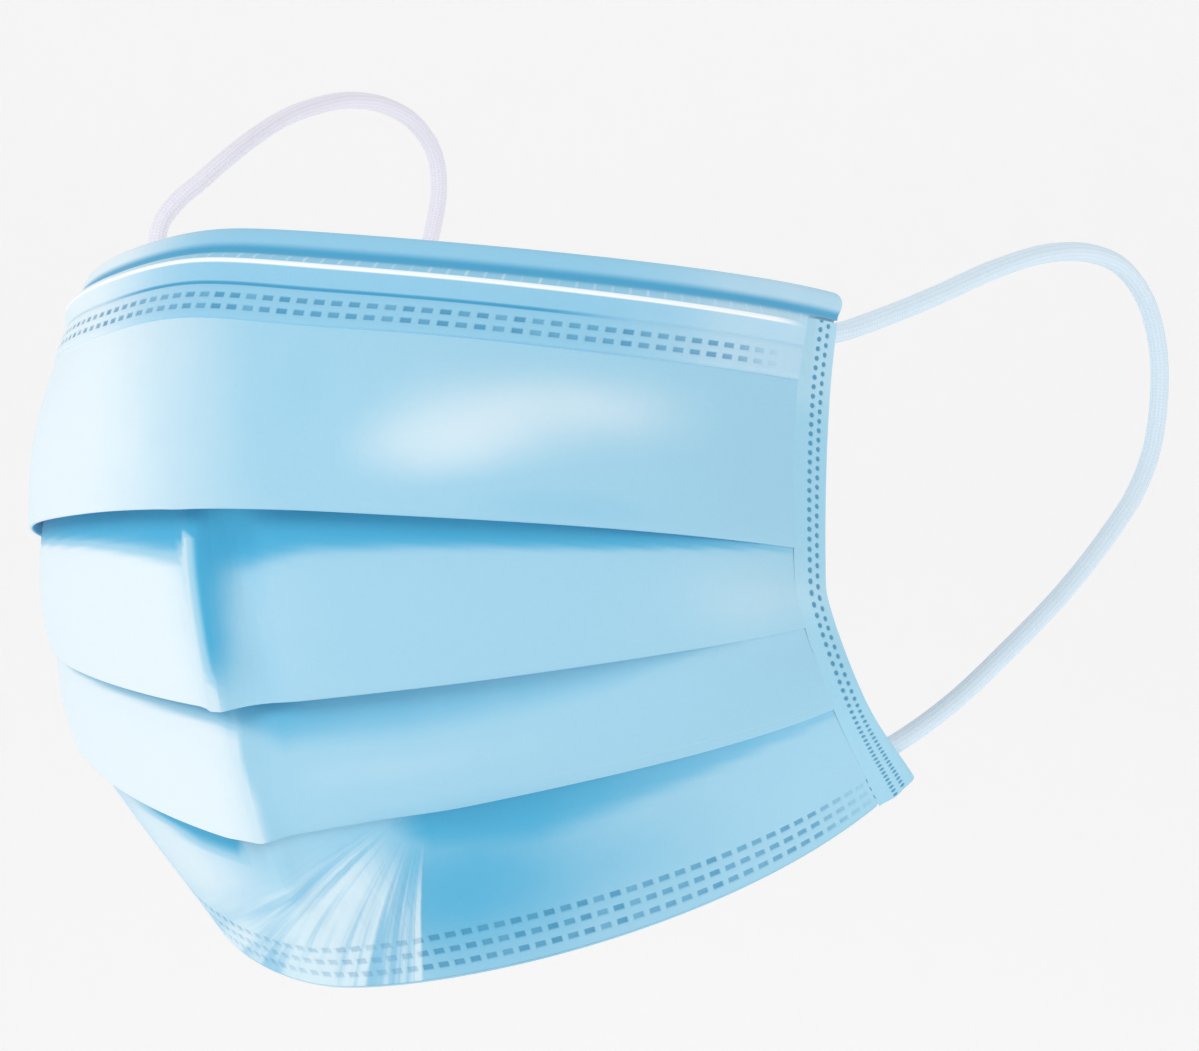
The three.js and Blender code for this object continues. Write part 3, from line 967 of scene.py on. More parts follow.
@dataclass(frozen=True)
class HemFinish(ClothFinish):
    """The top hem's nonwoven: welded dashes, a painted highlight along the wire's ridge, its ticks and
    fine lines of painted shade in its creases.
    """

    # Colour of the painted highlight along the wire's ridge.
    ridge: Colour = srgb(250, 253, 255)
    tick: Colour = srgb(196, 226, 240)
    # Colour of the painted shade in the hem's creases.
    line: Colour = srgb(70, 162, 204)
    ridge_line: SoftLine = SoftLine(7.0, 0.38, 0.25)
    ridge_end: tuple[float, float] = (93.5, 86.0)
    tick_line: SoftLine = SoftLine(5.8, 0.7, 0.5)
    tick_mark: SoftLine = SoftLine(1.2, 0.2, 0.3)
    # Places of the lines of painted shade: in the hollow above the wire and in the crease lower down.
    groove_line: SoftLine = SoftLine(4.2, 0.85, 1.3)
    crease_line: SoftLine = SoftLine(10.2, 0.28, 0.3)
    crease_end: tuple[float, float] = (66.0, 50.0)
    crease_faint: tuple[float, float] = (-26.0, -8.0)

    def build(self) -> bpy.types.Material:
        """Makes the material.

        Returns:
            The material.
        """
        paint = Paint(self.name)
        _, along, level, side = paint.attribute("pattern")
        tone = paint.attribute("tone")[0]
        colour = self.cloth(paint, tone, side)
        turns = along / self.dashes.pitch
        ticks = paint.inside(paint.math("FRACT", turns) * self.dashes.pitch, *self.tick_mark)
        ticks = ticks * paint.inside(level, *self.tick_line)
        ticks = ticks * (paint.speckle(paint.math("FLOOR", turns)) * 0.7 + 0.3)
        reach = paint.math("ABSOLUTE", along)
        # Painted shade in the hollow above the wire and along the crease lower down.
        groove_shade = paint.inside(level, *self.groove_line)
        crease_shade = paint.inside(level, *self.crease_line) * paint.band(along, *self.crease_end)
        crease_shade = crease_shade * (paint.band(along, *self.crease_faint) * 0.75 + 0.25)
        colour = paint.mix(groove_shade * side * 0.92, colour, self.line)
        colour = paint.mix(crease_shade * side * 0.95, colour, self.line)
        colour = paint.mix(ticks * side * 0.8, colour, self.tick)
        weld = self.weld_mask(paint, along, level)
        colour = self.welded(paint, colour, weld, side)
        # A painted highlight along the wire's ridge, fading near the ends.
        ridge = paint.inside(level, *self.ridge_line) * paint.band(reach, *self.ridge_end)
        colour = paint.mix(ridge * side * 0.95, colour, self.ridge)
        height = self.grain(paint) * (1.0 - weld) - weld + ticks * 0.6
        return paint.finish(
            Base_Color=colour, Roughness=self.roughness, Normal=paint.relief(height, 0.00007, 0.6),
            Sheen_Weight=self.sheen, **MATT_CLOTH)


@dataclass(frozen=True)
class ElasticFinish:
    """Round knitted elastic: fine wales along the cord and small stitches across them, with painted shade
    in the knit's hollows and broad random mottling.
    """

    name: str
    light: Colour
    shade: Colour
    wales: int = 14
    stitch: float = 0.55
    roughness: float = 0.75

    def build(self) -> bpy.types.Material:
        """Makes the material.

        Returns:
            The material.
        """
        paint = Paint(self.name)
        _, turn, along, weld = paint.attribute("pattern")
        wale = paint.math("SINE", turn * (2.0 * math.pi * self.wales))
        slant = paint.math("SINE", along * (2.0 * math.pi / self.stitch) + wale * 1.6)
        knit = wale * 0.5 + slant * 0.5
        fuzz = paint.noise(paint.place(), 2200.0)
        broad_mottle = paint.noise(paint.place(), 60.0)
        # Painted shade in the knit's hollows, and broad random mottling towards the shade colour.
        colour = paint.mix(paint.band(knit, 0.4, -1.0) * 0.55 + broad_mottle * 0.3, self.light, self.shade)
        height = (knit * (1.0 - weld) + fuzz) * 0.5
        return paint.finish(
            Base_Color=colour, Roughness=self.roughness, Normal=paint.relief(height, 0.00012, 0.6),
            Sheen_Weight=0.2, **MATT_CLOTH)


@dataclass(frozen=True)
class WireFinish:
    """White coated nose strip with a faint drawn grain."""

    name: str
    coat: Colour = srgb(226, 230, 232)
    roughness: float = 0.42

    def build(self) -> bpy.types.Material:
        """Makes the material.

        Returns:
            The material.
        """
        paint = Paint(self.name)
        scuff = paint.noise(paint.place(), 400.0, 3.0)
        darker = tuple(value * 0.86 for value in self.coat)
        return paint.finish(
            Base_Color=paint.mix(scuff, self.coat, darker), Roughness=scuff * 0.2 + self.roughness,
            Normal=paint.relief(scuff, 0.00004, 0.4))


@dataclass(frozen=True)
class StudioFinish:
    """Pale paper of the studio floor and backdrop, with a faint tooth."""

    name: str
    paper: Colour = (0.9, 0.9, 0.9)
    glow: float = 0.235

    def build(self) -> bpy.types.Material:
        """Makes the material.

        Returns:
            The material.
        """
        paint = Paint(self.name)
        tooth = paint.noise(paint.place(), 40.0)
        darker = tuple(value * 0.985 for value in self.paper)
        return paint.finish(
            Base_Color=paint.mix(tooth, self.paper, darker), Roughness=0.9,
            Emission_Color=(1.0, 1.0, 1.0, 1.0), Emission_Strength=self.glow, Specular_IOR_Level=0.1)


# Camera and studio

@dataclass
class PhotoCamera:
    """The camera at the photo's angle, aimed so that the mask sits where the photo shows it."""

    azimuth: float = 38.35
    elevation: float = -0.17
    distance: float = 0.6658
    lens: float = 127.46
    sensor: float = 36.0
    aim_right: float = 0.01728
    aim_up: float = 0.00294

    def build(self) -> bpy.types.Object:
        """Makes the camera and sets it as the scene's.

        Returns:
            The camera.
        """
        turn, rise = math.radians(self.azimuth), math.radians(self.elevation)
        level = math.cos(rise)
        toward = Vector((math.sin(turn) * level, -math.cos(turn) * level, math.sin(rise)))
        right = Vector((math.cos(turn), math.sin(turn), 0.0))
        place = toward * self.distance
        aim = right * self.aim_right + Vector((0.0, 0.0, self.aim_up))
        data = bpy.data.cameras.new("photo_camera")
        data.lens, data.sensor_width = self.lens, self.sensor
        camera = bpy.data.objects.new("photo_camera", data)
        camera.location = place
        camera.rotation_euler = (aim - place).to_track_quat("-Z", "Y").to_euler()
        bpy.context.scene.collection.objects.link(camera)
        bpy.context.scene.camera = camera
        return camera

    def direction(self, right: float, up: float, near: float) -> Vector:
        """Finds a place from the camera's point of view.

        Args:
            right: metres to the camera's right.
            up: metres up.
            near: metres towards the camera.

        Returns:
            The place.
        """
        turn = math.radians(self.azimuth)
        side = Vector((math.cos(turn), math.sin(turn), 0.0))
        toward = Vector((math.sin(turn), -math.cos(turn), 0.0))
        return side * right + toward * near + Vector((0.0, 0.0, up))


class SoftLight(NamedTuple):
    """A square soft light: its place from the camera's view in metres, its side and its power."""

    name: str
    right: float
    up: float
    near: float
    side: float
    watts: float


@dataclass
class Studio:
    """Pale floor with a curved backdrop, even surrounding light and soft lights."""

    camera: PhotoCamera
    floor_z: float = -0.30
    half_size: float = 3.0
    wall_back: float = 1.8
    wall_height: float = 3.2
    curve: float = 0.9
    surrounding: float = 0.60
    lights: tuple[SoftLight, ...] = (
        SoftLight("key_light", -0.75, 0.45, 0.55, 0.45, 3.4),
        SoftLight("fill_light", 0.9, 0.3, 0.6, 0.8, 2.9),
        SoftLight("back_light", 0.2, 0.8, -0.7, 0.7, 1.0),
    )

    def build(self) -> None:
        """Makes the floor, the backdrop and the lights."""
        self.backdrop()
        world = bpy.data.worlds.new("studio_air")
        world.use_nodes = True
        background = world.node_tree.nodes["Background"]
        background.inputs["Color"].default_value = (1.0, 1.0, 1.0, 1.0)
        background.inputs["Strength"].default_value = self.surrounding
        bpy.context.scene.world = world
        bpy.context.scene.view_settings.view_transform = "Standard"
        for light in self.lights:
            self.lamp(light)

    def backdrop(self) -> None:
        """Sweeps a floor up into a wall behind the mask, as the camera sees it."""
        near = 1e-4
        bpy.ops.object.select_all(action="DESELECT")
        bpy.ops.mesh.primitive_plane_add(size=2.0 * self.half_size, location=(0.0, 0.0, self.floor_z))
        sweep = bpy.context.object
        sweep.name = sweep.data.name = "studio_floor"
        bpy.ops.object.transform_apply(location=True, rotation=True, scale=True)
        for vertex in sweep.data.vertices:
            if vertex.co.y > 0.0:
                vertex.co.y = self.wall_back
            vertex.select = vertex.co.y > 0.0
        for edge in sweep.data.edges:
            edge.select = all(sweep.data.vertices[index].select for index in edge.vertices)
        for face in sweep.data.polygons:
            face.select = False
        bpy.ops.object.mode_set(mode="EDIT")
        bpy.ops.mesh.select_mode(type="EDGE")
        bpy.ops.mesh.extrude_region_move(TRANSFORM_OT_translate={"value": (0.0, 0.0, self.wall_height)})
        bpy.ops.object.mode_set(mode="OBJECT")
        for edge in sweep.data.edges:
            ends = [sweep.data.vertices[index].co for index in edge.vertices]
            edge.select = all(abs(end.y - self.wall_back) < near and abs(end.z - self.floor_z) < near
                              for end in ends)
        for face in sweep.data.polygons:
            face.select = False
        bpy.ops.object.mode_set(mode="EDIT")
        bpy.ops.mesh.bevel(offset=self.curve, segments=24, profile=0.5)
        bpy.ops.object.mode_set(mode="OBJECT")
        bpy.ops.object.shade_smooth()
        sweep.rotation_euler = (0.0, 0.0, math.radians(self.camera.azimuth))
        bpy.ops.object.transform_apply(location=False, rotation=True, scale=False)
        sweep.data.materials.append(StudioFinish("studio_paper").build())

    def lamp(self, light: SoftLight) -> None:
        """Adds one soft light that shines at the mask.

        Args:
            light: its place, size and power.
        """
        data = bpy.data.lights.new(light.name, "AREA")
        data.size, data.energy = light.side, light.watts
        lamp = bpy.data.objects.new(light.name, data)
        lamp.location = self.camera.direction(light.right, light.up, light.near)
        lamp.rotation_euler = (-lamp.location).to_track_quat("-Z", "Y").to_euler()
        bpy.context.scene.collection.objects.link(lamp)


# Pieces

@dataclass(frozen=True)
class Cloth:
    """Walls and clearances that the cloth pieces share, in millimetres."""

    panel: float = 0.7
    hem: float = 0.42
    gap: float = 0.1
    binding_width: float = 6.5
    binding_seat: float = 0.6
    binding_edge: float = 0.37
    binding_wall: float = 0.4
    closed_step: float = 0.15
    hem_end_gap: float = 0.3


CLOTH = Cloth()


@dataclass
class MaskBody:
    """The pleated panel: a thin wall folded in three downward pleats."""

    form: FaceForm
    finish: ClothFinish
    top_inset: float = 1.2
    bottom_inset: float = 0.66
    panel_rows: tuple[int, ...] = (30, 26, 20, 15)
    arc_points: int = 6
    binding_columns: int = 3
    lip_share: float = 0.35
    lip_setback: float = 1.6
    lip_curve: float = 1.4
    pinch_ease: tuple[float, float] = (0.06, 0.08)
    fan_start: tuple[float, float] = (-0.016, -0.004)
    extra_levels: tuple[float, ...] = (6.4, 4.0, 1.6, 1.1)
    # Where the painted highlight on the centre ridge's crest lies, in millimetres aside and shares down,
    # and its strength; then the ridge's line and the painted shade in the valley beside it.
    crest_sides: tuple[tuple[float, float], ...] = ((-3.6, -2.8), (-0.4, 0.3))
    crest_ends: tuple[tuple[float, float], ...] = ((0.386, 0.398), (0.44, 0.50))
    crest_highlight: float = 0.55
    ridge_line: tuple[tuple[float, float], ...] = (
        (0.36, 0.018), (0.42, 0.0), (0.50, -0.004), (0.58, 0.014), (0.62, 0.016), (0.77, 0.040))
    valley_widths: tuple[tuple[float, float], ...] = ((0.36, 9.0), (0.45, 6.2), (0.55, 4.0), (0.61, 1.5))
    valley_end: tuple[float, float] = (0.50, 0.62)
    # Soft patches of painted light (below 0) and painted shade (above 0) over the panel.
    painted_shadings: tuple[PaintedShadingPatch, ...] = (
        PaintedShadingPatch(-0.42, 0.25, 0.46, 0.45, -1.10),
        PaintedShadingPatch(0.21, 0.22, 0.10, 0.16, 0.30),
        PaintedShadingPatch(0.36, 0.285, 0.11, 0.05, -0.32),
        PaintedShadingPatch(0.46, 0.245, 0.12, 0.055, -0.45),
        PaintedShadingPatch(0.61, 0.200, 0.14, 0.045, -0.48),
        PaintedShadingPatch(0.54, 0.335, 0.20, 0.035, 0.28),
        PaintedShadingPatch(0.86, 0.50, 0.20, 0.14, -0.30),
        PaintedShadingPatch(0.30, 0.71, 0.22, 0.04, -0.25),
        PaintedShadingPatch(-0.30, 0.86, 0.24, 0.10, -0.55),
        PaintedShadingPatch(0.32, 0.88, 0.20, 0.12, 0.80),
        PaintedShadingPatch(0.60, 0.91, 0.16, 0.10, 0.20),
    )
    # Painted shade under the lip of each pleat, one table for each pleat.
    shades: tuple[tuple[Shade, ...], ...] = (
        (Shade(-0.80, 1.6, 0.6), Shade(-0.60, 2.8, 0.9), Shade(-0.30, 5.2, 1.0), Shade(-0.10, 7.4, 1.0),
         Shade(0.0, 8.0, 1.0), Shade(0.08, 10.0, 1.0), Shade(0.20, 6.8, 1.0), Shade(0.40, 5.2, 1.0),
         Shade(0.60, 4.4, 0.9), Shade(0.80, 2.4, 0.7), Shade(0.95, 1.2, 0.4)),
        (Shade(-0.70, 1.6, 0.5), Shade(-0.45, 2.2, 0.75), Shade(-0.03, 3.2, 0.9), Shade(0.02, 3.4, 0.7),
         Shade(0.10, 7.4, 0.72), Shade(0.30, 8.8, 0.60), Shade(0.45, 7.6, 0.50), Shade(0.60, 5.4, 0.42),
         Shade(0.71, 2.4, 0.4), Shade(0.80, 0.8, 0.1)),
        (Shade(-0.55, 3.0, 0.9), Shade(-0.36, 4.2, 1.1), Shade(-0.20, 5.8, 1.2), Shade(-0.10, 5.4, 1.2),
         Shade(-0.06, 4.6, 0.1),
         Shade(0.24, 2.5, 0.1), Shade(0.30, 6.0, 0.85), Shade(0.45, 8.5, 0.8), Shade(0.60, 6.5, 0.65),
         Shade(0.80, 3.4, 0.5), Shade(0.95, 1.8, 0.35)),
    )

    def build(self) -> bpy.types.Object:
        """Builds and dresses the panel.

        Returns:
            The finished piece.
        """
        half_length = self.form.length((0.0, self.weld_line), (self.binding_start, self.weld_line))
        lengths = BOTTOM_DASHES.columns(half_length)
        across = self.form.shares_at(self.weld_line, lengths)
        rest = np.linspace(self.binding_start, self.edge, self.binding_columns + 1)[1:]
        beyond = half_length + (rest - self.binding_start) * self.form.side_stretch
        across = np.concatenate([-rest[::-1], across, rest])
        lengths = np.concatenate([-beyond[::-1], lengths, beyond])
        outer, inner = self.faces(across, lengths)
        piece = ClothShell(self.form, "pleated_panel", outer, inner, lengths).build()
        piece.data.materials.append(self.finish.build())
        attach(piece, "root")
        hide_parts("mask_body")
        return piece

    @property
    def weld_line(self) -> float:
        """Share down of the middle row of welds."""
        return 1.0 - BOTTOM_DASHES.rows[1] / self.form.down_length

    @property
    def binding_start(self) -> float:
        """Share across where the side binding begins."""
        return 1.0 - CLOTH.binding_width / self.form.side_stretch

    @property
    def edge(self) -> float:
        """Share across where the panel ends inside the binding."""
        return 1.0 - (CLOTH.binding_wall + CLOTH.gap + CLOTH.closed_step) / self.form.side_stretch

    def fold(self, pleat: Pleat, across: Array) -> dict[str, Array]:
        """Works out one pleat for every column.

        Args:
            pleat: the pleat's sizes.
            across: shares across of the columns.

        Returns:
            Named arrays: where the lip and root lie, in shares, and heights in millimetres.
        """
        lip, (low, high) = DOWN[pleat.name], pleat.pinch
        ease_in, ease_out = self.pinch_ease
        closed = np.minimum(np.abs(across) / pleat.closes, 1.0)
        openness = np.cos(closed * math.pi / 2.0) ** self.lip_curve
        held = smooth_step(across, low - ease_in, low + ease_in)
        held = held * (1.0 - smooth_step(across, high - ease_out, high + ease_out))
        opened = openness * (1.0 - pleat.pull * held)
        height = CLOTH.closed_step + (pleat.open - CLOTH.closed_step) * opened
        setback = CLOTH.panel * (1.0 + (self.lip_setback - 1.0) * openness)
        tuck = setback + (pleat.tuck - setback) * openness
        scale = self.form.down_length
        return {
            "lip": np.full_like(across, lip), "openness": openness,
            "setback": setback / scale, "tuck": tuck / scale,
            "proud": height * self.lip_share, "sunk": height * (self.lip_share - 1.0),
        }

    def faces(self, across: Array, lengths: Array) -> tuple[Skin, Skin]:
        """Works out both faces of the panel.

        Args:
            across: shares across of the columns.
            lengths: the columns' lengths from the middle along the welds.

        Returns:
            The outer and the inner face.
        """
        half, scale = CLOTH.panel / 2.0, self.form.down_length
        folds = [self.fold(pleat, across) for pleat in PLEATS]
        top = np.full_like(across, self.top_inset / scale)
        bottom = np.full_like(across, 1.0 - self.bottom_inset / scale)
        outer, inner, painted_shadings = [], [], []
        for index, rows in enumerate(self.panel_rows):
            above = folds[index - 1] if index else None
            below = folds[index] if index < len(folds) else None
            nose = half / scale
            start = above["lip"] - above["tuck"] + above["setback"] if above else top
            inner_start = above["lip"] - above["tuck"] + nose if above else top
            end = below["lip"] - nose if below else bottom
            inner_end = below["lip"] - below["setback"] if below else bottom
            for share in self.row_shares(rows, start, end, below is None):
                down = start + (end - start) * share
                inner_down = inner_start + (inner_end - inner_start) * share
                off = 0.0 * across
                if above:
                    off = off + above["sunk"] * (1.0 - share) ** 2.2
                if below:
                    off = off + below["proud"] * share**2
                level = (1.0 - down) * scale
                press = BOTTOM_DASHES.pressed(lengths, level) if below is None else 0.0
                outer.append((down, off + half - press))
                inner.append((inner_down, off - half))
                painted_shadings.append(self.tone(across, down, index))
            if below:
                for arc in np.linspace(0.0, 1.0, self.arc_points + 1)[1:]:
                    outer.append(self.lip_point(below, nose, arc, half))
                    inner.append(self.root_point(below, nose, arc, half))
                    painted_shadings.append(self.tone(across, outer[-1][0], index + (arc > 0.6)))
        grid = np.broadcast_to(across, (len(outer), len(across)))
        tone = np.array(painted_shadings)
        faces = []
        for rows in (outer, inner):
            downs = np.array([row[0] for row in rows])
            offs = np.array([row[1] for row in rows])
            faces.append(Skin(grid, downs, offs, tone, self.fan_places(grid, downs)))
        return faces[0], faces[1]

    def fan_places(self, across: Array, down: Array) -> Array:
        """Places the panel's points in the chin fan.

        Args:
            across: shares across.
            down: shares down.

        Returns:
            The share across the fan, the share along it, and 1 where it may show.
        """
        turn, along = self.form.fan.coordinates(across, down)
        lip = DOWN["pleat_3"]
        shown = smooth_step(down - lip, *self.fan_start)
        return np.stack([np.clip(turn, -0.6, 1.6), along, shown], axis=-1)

    def row_shares(self, rows: int, start: Array, end: Array, lowest: bool) -> list[Array]:
        """Places the mesh rows of one panel between pleats.

        Args:
            rows: how many plain rows it has.
            start: shares down where it begins.
            end: shares down where it ends.
            lowest: whether it holds the welds.

        Returns:
            Shares of the way down the panel, one array for each row.
        """
        if not lowest:
            return [np.full_like(start, share) for share in np.linspace(0.0, 1.0, rows)]
        scale = self.form.down_length
        levels = sorted([*BOTTOM_DASHES.levels(), *self.extra_levels], reverse=True)
        weld_top = 1.0 - (levels[0] + 0.6) / scale
        plain = [(weld_top - start) * share / (end - start) for share in np.linspace(0.0, 1.0, rows)]
        welds = [(1.0 - level / scale - start) / (end - start) for level in levels]
        return [*plain, *welds, np.ones_like(start)]

    @staticmethod
    def lip_point(fold: dict[str, Array], nose: float, arc: float, half: float) -> tuple[Array, Array]:
        """Places a row of the outer face on the round lip, from its front to its underside.

        Args:
            fold: the pleat, as fold returns it.
            nose: the lip's radius, in shares down.
            arc: 0 at the start of the round and 1 at its end.
            half: half the cloth's thickness.

        Returns:
            Shares down and heights.
        """
        under = fold["proud"] - half
        shut = (fold["proud"] + fold["sunk"]) / 2.0 + half
        under = shut + (under - shut) * np.sqrt(fold["openness"])
        top = fold["proud"] + half
        angle = arc * math.pi
        down = fold["lip"] - nose + nose * math.sin(angle)
        return down, (top + under) / 2.0 + (top - under) / 2.0 * math.cos(angle)

    @staticmethod
    def root_point(fold: dict[str, Array], nose: float, arc: float, half: float) -> tuple[Array, Array]:
        """Places a row of the inner face on the round root, from its front to its back.

        Args:
            fold: the pleat, as fold returns it.
            nose: the lip's radius, in shares down.
            arc: 0 at the start of the round and 1 at its end.
            half: half the cloth's thickness.

        Returns:
            Shares down and heights.
        """
        over = fold["sunk"] + half
        shut = (fold["proud"] + fold["sunk"]) / 2.0 - half
        over = shut + (over - shut) * np.sqrt(fold["openness"])
        back = fold["sunk"] - half
        angle = arc * math.pi
        down = fold["lip"] - fold["tuck"] + nose - nose * math.sin(angle)
        return down, (over + back) / 2.0 + (over - back) / 2.0 * math.cos(angle)

    def tone(self, across: Array, down: Array, panel: int) -> Array:
        """Works out the painted light and shade on the cloth.

        Args:
            across: shares across.
            down: shares down.
            panel: number of the panel between pleats, from the top.

        Returns:
            Painted light below 0 and painted shade above 0.
        """
        form = self.form
        tone = 0.0 * across
        # Soft patches of painted light and painted shade.
        for patch in self.painted_shadings:
            out = ((across - patch.across) / patch.wide) ** 2 + ((down - patch.down) / patch.tall) ** 2
            tone = tone + patch.amount * np.exp(-out)
        aside = (across - np.interp(down, *zip(*self.ridge_line))) * form.across_length
        if panel in (1, 2):
            tone = self.beside_ridge(tone, across, aside)
        if panel:
            tone = self.under_pleat(tone, across, down, panel)
        if panel == 1:
            tone = self.in_valley(tone, down, aside)
        return tone

    @staticmethod
    def beside_ridge(tone: Array, across: Array, aside: Array) -> Array:
        """Paints light on the wearer's right of the centre ridge, and painted shade close beside it on
        both sides.

        Args:
            tone: painted light and shade so far.
            across: shares across.
            aside: millimetres from the ridge, above 0 on the wearer's left.

        Returns:
            The changed painted light and shade.
        """
        # Painted light on the wearer's right of the ridge, then painted shade close beside the ridge.
        right = 1.0 - smooth_step(aside, -0.6, 0.6)
        tone = tone - 0.9 * right * (1.0 - smooth_step(-across, 0.5, 1.0))
        tone = tone + 0.25 * smooth_step(aside, -0.4, 0.5) * np.exp(-((aside / 9.0) ** 2))
        tone = np.maximum(tone, -1.0)
        return tone + 0.42 * (1.0 - smooth_step(aside, -0.4, 0.5)) * np.exp(-((aside / 7.0) ** 2))

    def under_pleat(self, tone: Array, across: Array, down: Array, panel: int) -> Array:
        """Paints shade on the cloth that lies under the lip of the pleat above a panel.

        Args:
            tone: painted light and shade so far.
            across: shares across.
            down: shares down.
            panel: number of the panel between pleats, from the top.

        Returns:
            The changed painted light and shade.
        """
        # Painted shade under the lip, fading with distance below it.
        sharpness = 4.0 if panel == 2 else 7.0
        places, reaches, amounts = zip(*self.shades[panel - 1])
        reach = np.interp(across, places, reaches)
        amount = np.interp(across, places, amounts)
        below = np.maximum((down - DOWN[PLEATS[panel - 1].name]) * self.form.down_length, 0.0)
        shade = np.exp(-((below / reach) ** sharpness))
        return tone * (1.0 - 0.95 * shade * np.minimum(amount, 1.0)) + shade * amount

    def in_valley(self, tone: Array, down: Array, aside: Array) -> Array:
        """Paints shade in the valley beside the centre ridge, and a painted highlight on the narrow crest
        of the ridge.

        Args:
            tone: painted light and shade so far.
            down: shares down.
            aside: millimetres from the ridge, above 0 on the wearer's left.

        Returns:
            The changed painted light and shade.
        """
        # Painted shade in the valley beside the ridge.
        width = np.interp(down, *zip(*self.valley_widths))
        valley = smooth_step(aside, -0.3, 0.4) * np.exp(-((np.maximum(aside, 0.0) / width) ** 2))
        valley = valley * (1.0 - smooth_step(down, *self.valley_end))
        tone = tone + (1.0 - tone) * valley
        # A painted highlight on the ridge's narrow crest.
        crest = 1.0
        for place, (begin, finish) in ((aside, self.crest_sides), (down, self.crest_ends)):
            crest = crest * smooth_step(place, *begin) * (1.0 - smooth_step(place, *finish))
        return tone * (1.0 - crest) - self.crest_highlight * crest


@dataclass
class TopHem:
    """The strip folded over the top edge, with the nose wire's ridge and two rows of welds."""

    form: FaceForm
    finish: HemFinish
    back_flap: float = 8.0
    tab_height: float = 5.0
    tab_round: float = 2.2
    tab_slant: float = 1.2
    fold_points: int = 9
    back_rows: int = 7
    tab_columns: int = 7
    profile: tuple[tuple[float, float], ...] = (
        (0.95, 0.95), (1.8, 1.05), (2.8, 1.02), (3.6, 0.85), (4.2, 0.78), (4.8, 0.90), (5.3, 1.35),
        (5.8, 1.75), (6.4, 1.95), (6.8, 2.10), (7.0, 2.15), (7.2, 2.10), (7.6, 1.90), (8.4, 1.55),
        (9.2, 1.15), (9.8, 1.0), (10.2, 0.78), (10.6, 0.95), (15.3, 0.92), (15.8, 0.75), (16.0, 0.5),
    )
    front_levels: tuple[float, ...] = (
        1.3, 1.8, 2.3, 2.8, 3.2, 3.6, 3.9, 4.2, 4.5, 4.8, 5.05, 5.3, 5.55, 5.8, 6.1, 6.4, 6.6, 6.75, 6.88,
        7.0, 7.12, 7.25, 7.4, 7.7, 8.0, 8.4, 8.8, 9.2, 9.5, 9.8, 10.0, 10.2, 10.4, 10.6, 11.1, 13.1, 15.0,
        15.3, 15.55, 15.8, 16.0,
    )

    def build(self) -> bpy.types.Object:
        """Builds and dresses the hem.

        Returns:
            The finished piece.
        """
        form, scale = self.form, self.form.down_length
        weld_line = TOP_DASHES.rows[0] / scale
        end = self.end_share
        half_length = form.length((0.0, weld_line), (end, weld_line))
        lengths = TOP_DASHES.columns(half_length)
        across = form.shares_at(weld_line, lengths)
        tab = np.linspace(0.0, 1.0, self.tab_columns + 1)[1:]
        levels, outer_off, inner_levels, inner_off = self.section()
        reach = self.tab_reach(levels)
        inner_reach = self.tab_reach(inner_levels)
        beyond = half_length + tab * (1.0 - end) * form.side_stretch
        lengths = np.concatenate([-beyond[::-1], lengths, beyond])
        grids = []
        for stops in (reach, inner_reach):
            side = end + tab[None, :] * (stops[:, None] - end)
            middle = np.broadcast_to(across, (len(levels), len(across)))
            grids.append(np.concatenate([-side[:, ::-1], middle, side], axis=1))
        outer_off = self.with_detail(outer_off, levels, lengths, half_length)
        inner_off = np.minimum(self.flattened(inner_off, lengths, half_length), 9.0)
        shape = grids[0].shape
        outer = Skin(grids[0], np.broadcast_to((levels / scale)[:, None], shape), outer_off)
        inner = Skin(grids[1], np.broadcast_to((inner_levels / scale)[:, None], shape), inner_off)
        outer.tone = inner.tone = self.tone(grids[0])
        cells = self.cells(levels, lengths, half_length)
        made = ClothShell(form, "folded_top_hem", outer, inner, lengths, cells).build()
        made.data.materials.append(self.finish.build())
        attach(made, "root")
        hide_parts("top_hem")
        return made

    @property
    def end_share(self) -> float:
        """Share across where the hem meets the side binding."""
        return 1.0 - (CLOTH.binding_width + CLOTH.hem_end_gap) / self.form.side_stretch

    def section(self) -> tuple[Array, Array, Array, Array]:
        """Works out the hem's section.

        Returns:
            Levels down and heights of the outer face, then of the inner one.
        """
        skin = self.profile[0][1]
        seat = skin - CLOTH.hem
        back = np.linspace(self.back_flap, skin, self.back_rows, endpoint=False)
        turn = np.linspace(-math.pi / 2.0, math.pi / 2.0, self.fold_points)
        front = np.array(sorted([*self.front_levels, *TOP_DASHES.levels()]))
        heights = np.interp(front, *zip(*self.profile))
        outer_levels = np.concatenate([back, skin - skin * np.cos(turn), front])
        outer_off = np.concatenate([np.full_like(back, -skin), skin * np.sin(turn), heights])
        inner_levels = np.concatenate([back, skin - seat * np.cos(turn), front])
        inner_heights = np.maximum(heights - CLOTH.hem, CLOTH.panel / 2.0 + CLOTH.gap / 2.0)
        inner_off = np.concatenate([np.full_like(back, -seat), seat * np.sin(turn), inner_heights])
        return outer_levels, outer_off, inner_levels, inner_off

    def tab_reach(self, levels: Array) -> Array:
        """Works out where the corner tab ends: round at the top, then slanting.

        Args:
            levels: levels down.

        Returns:
            Shares across, one for each level.
        """
        high = np.clip(self.tab_round - levels, 0.0, self.tab_round)
        cut = self.tab_round - np.sqrt(np.maximum(self.tab_round**2 - high**2, 0.0))
        cut = cut + self.tab_slant * np.clip((levels - self.tab_round) / self.tab_height, 0.0, 1.0)
        return 1.0 - cut / self.form.side_stretch

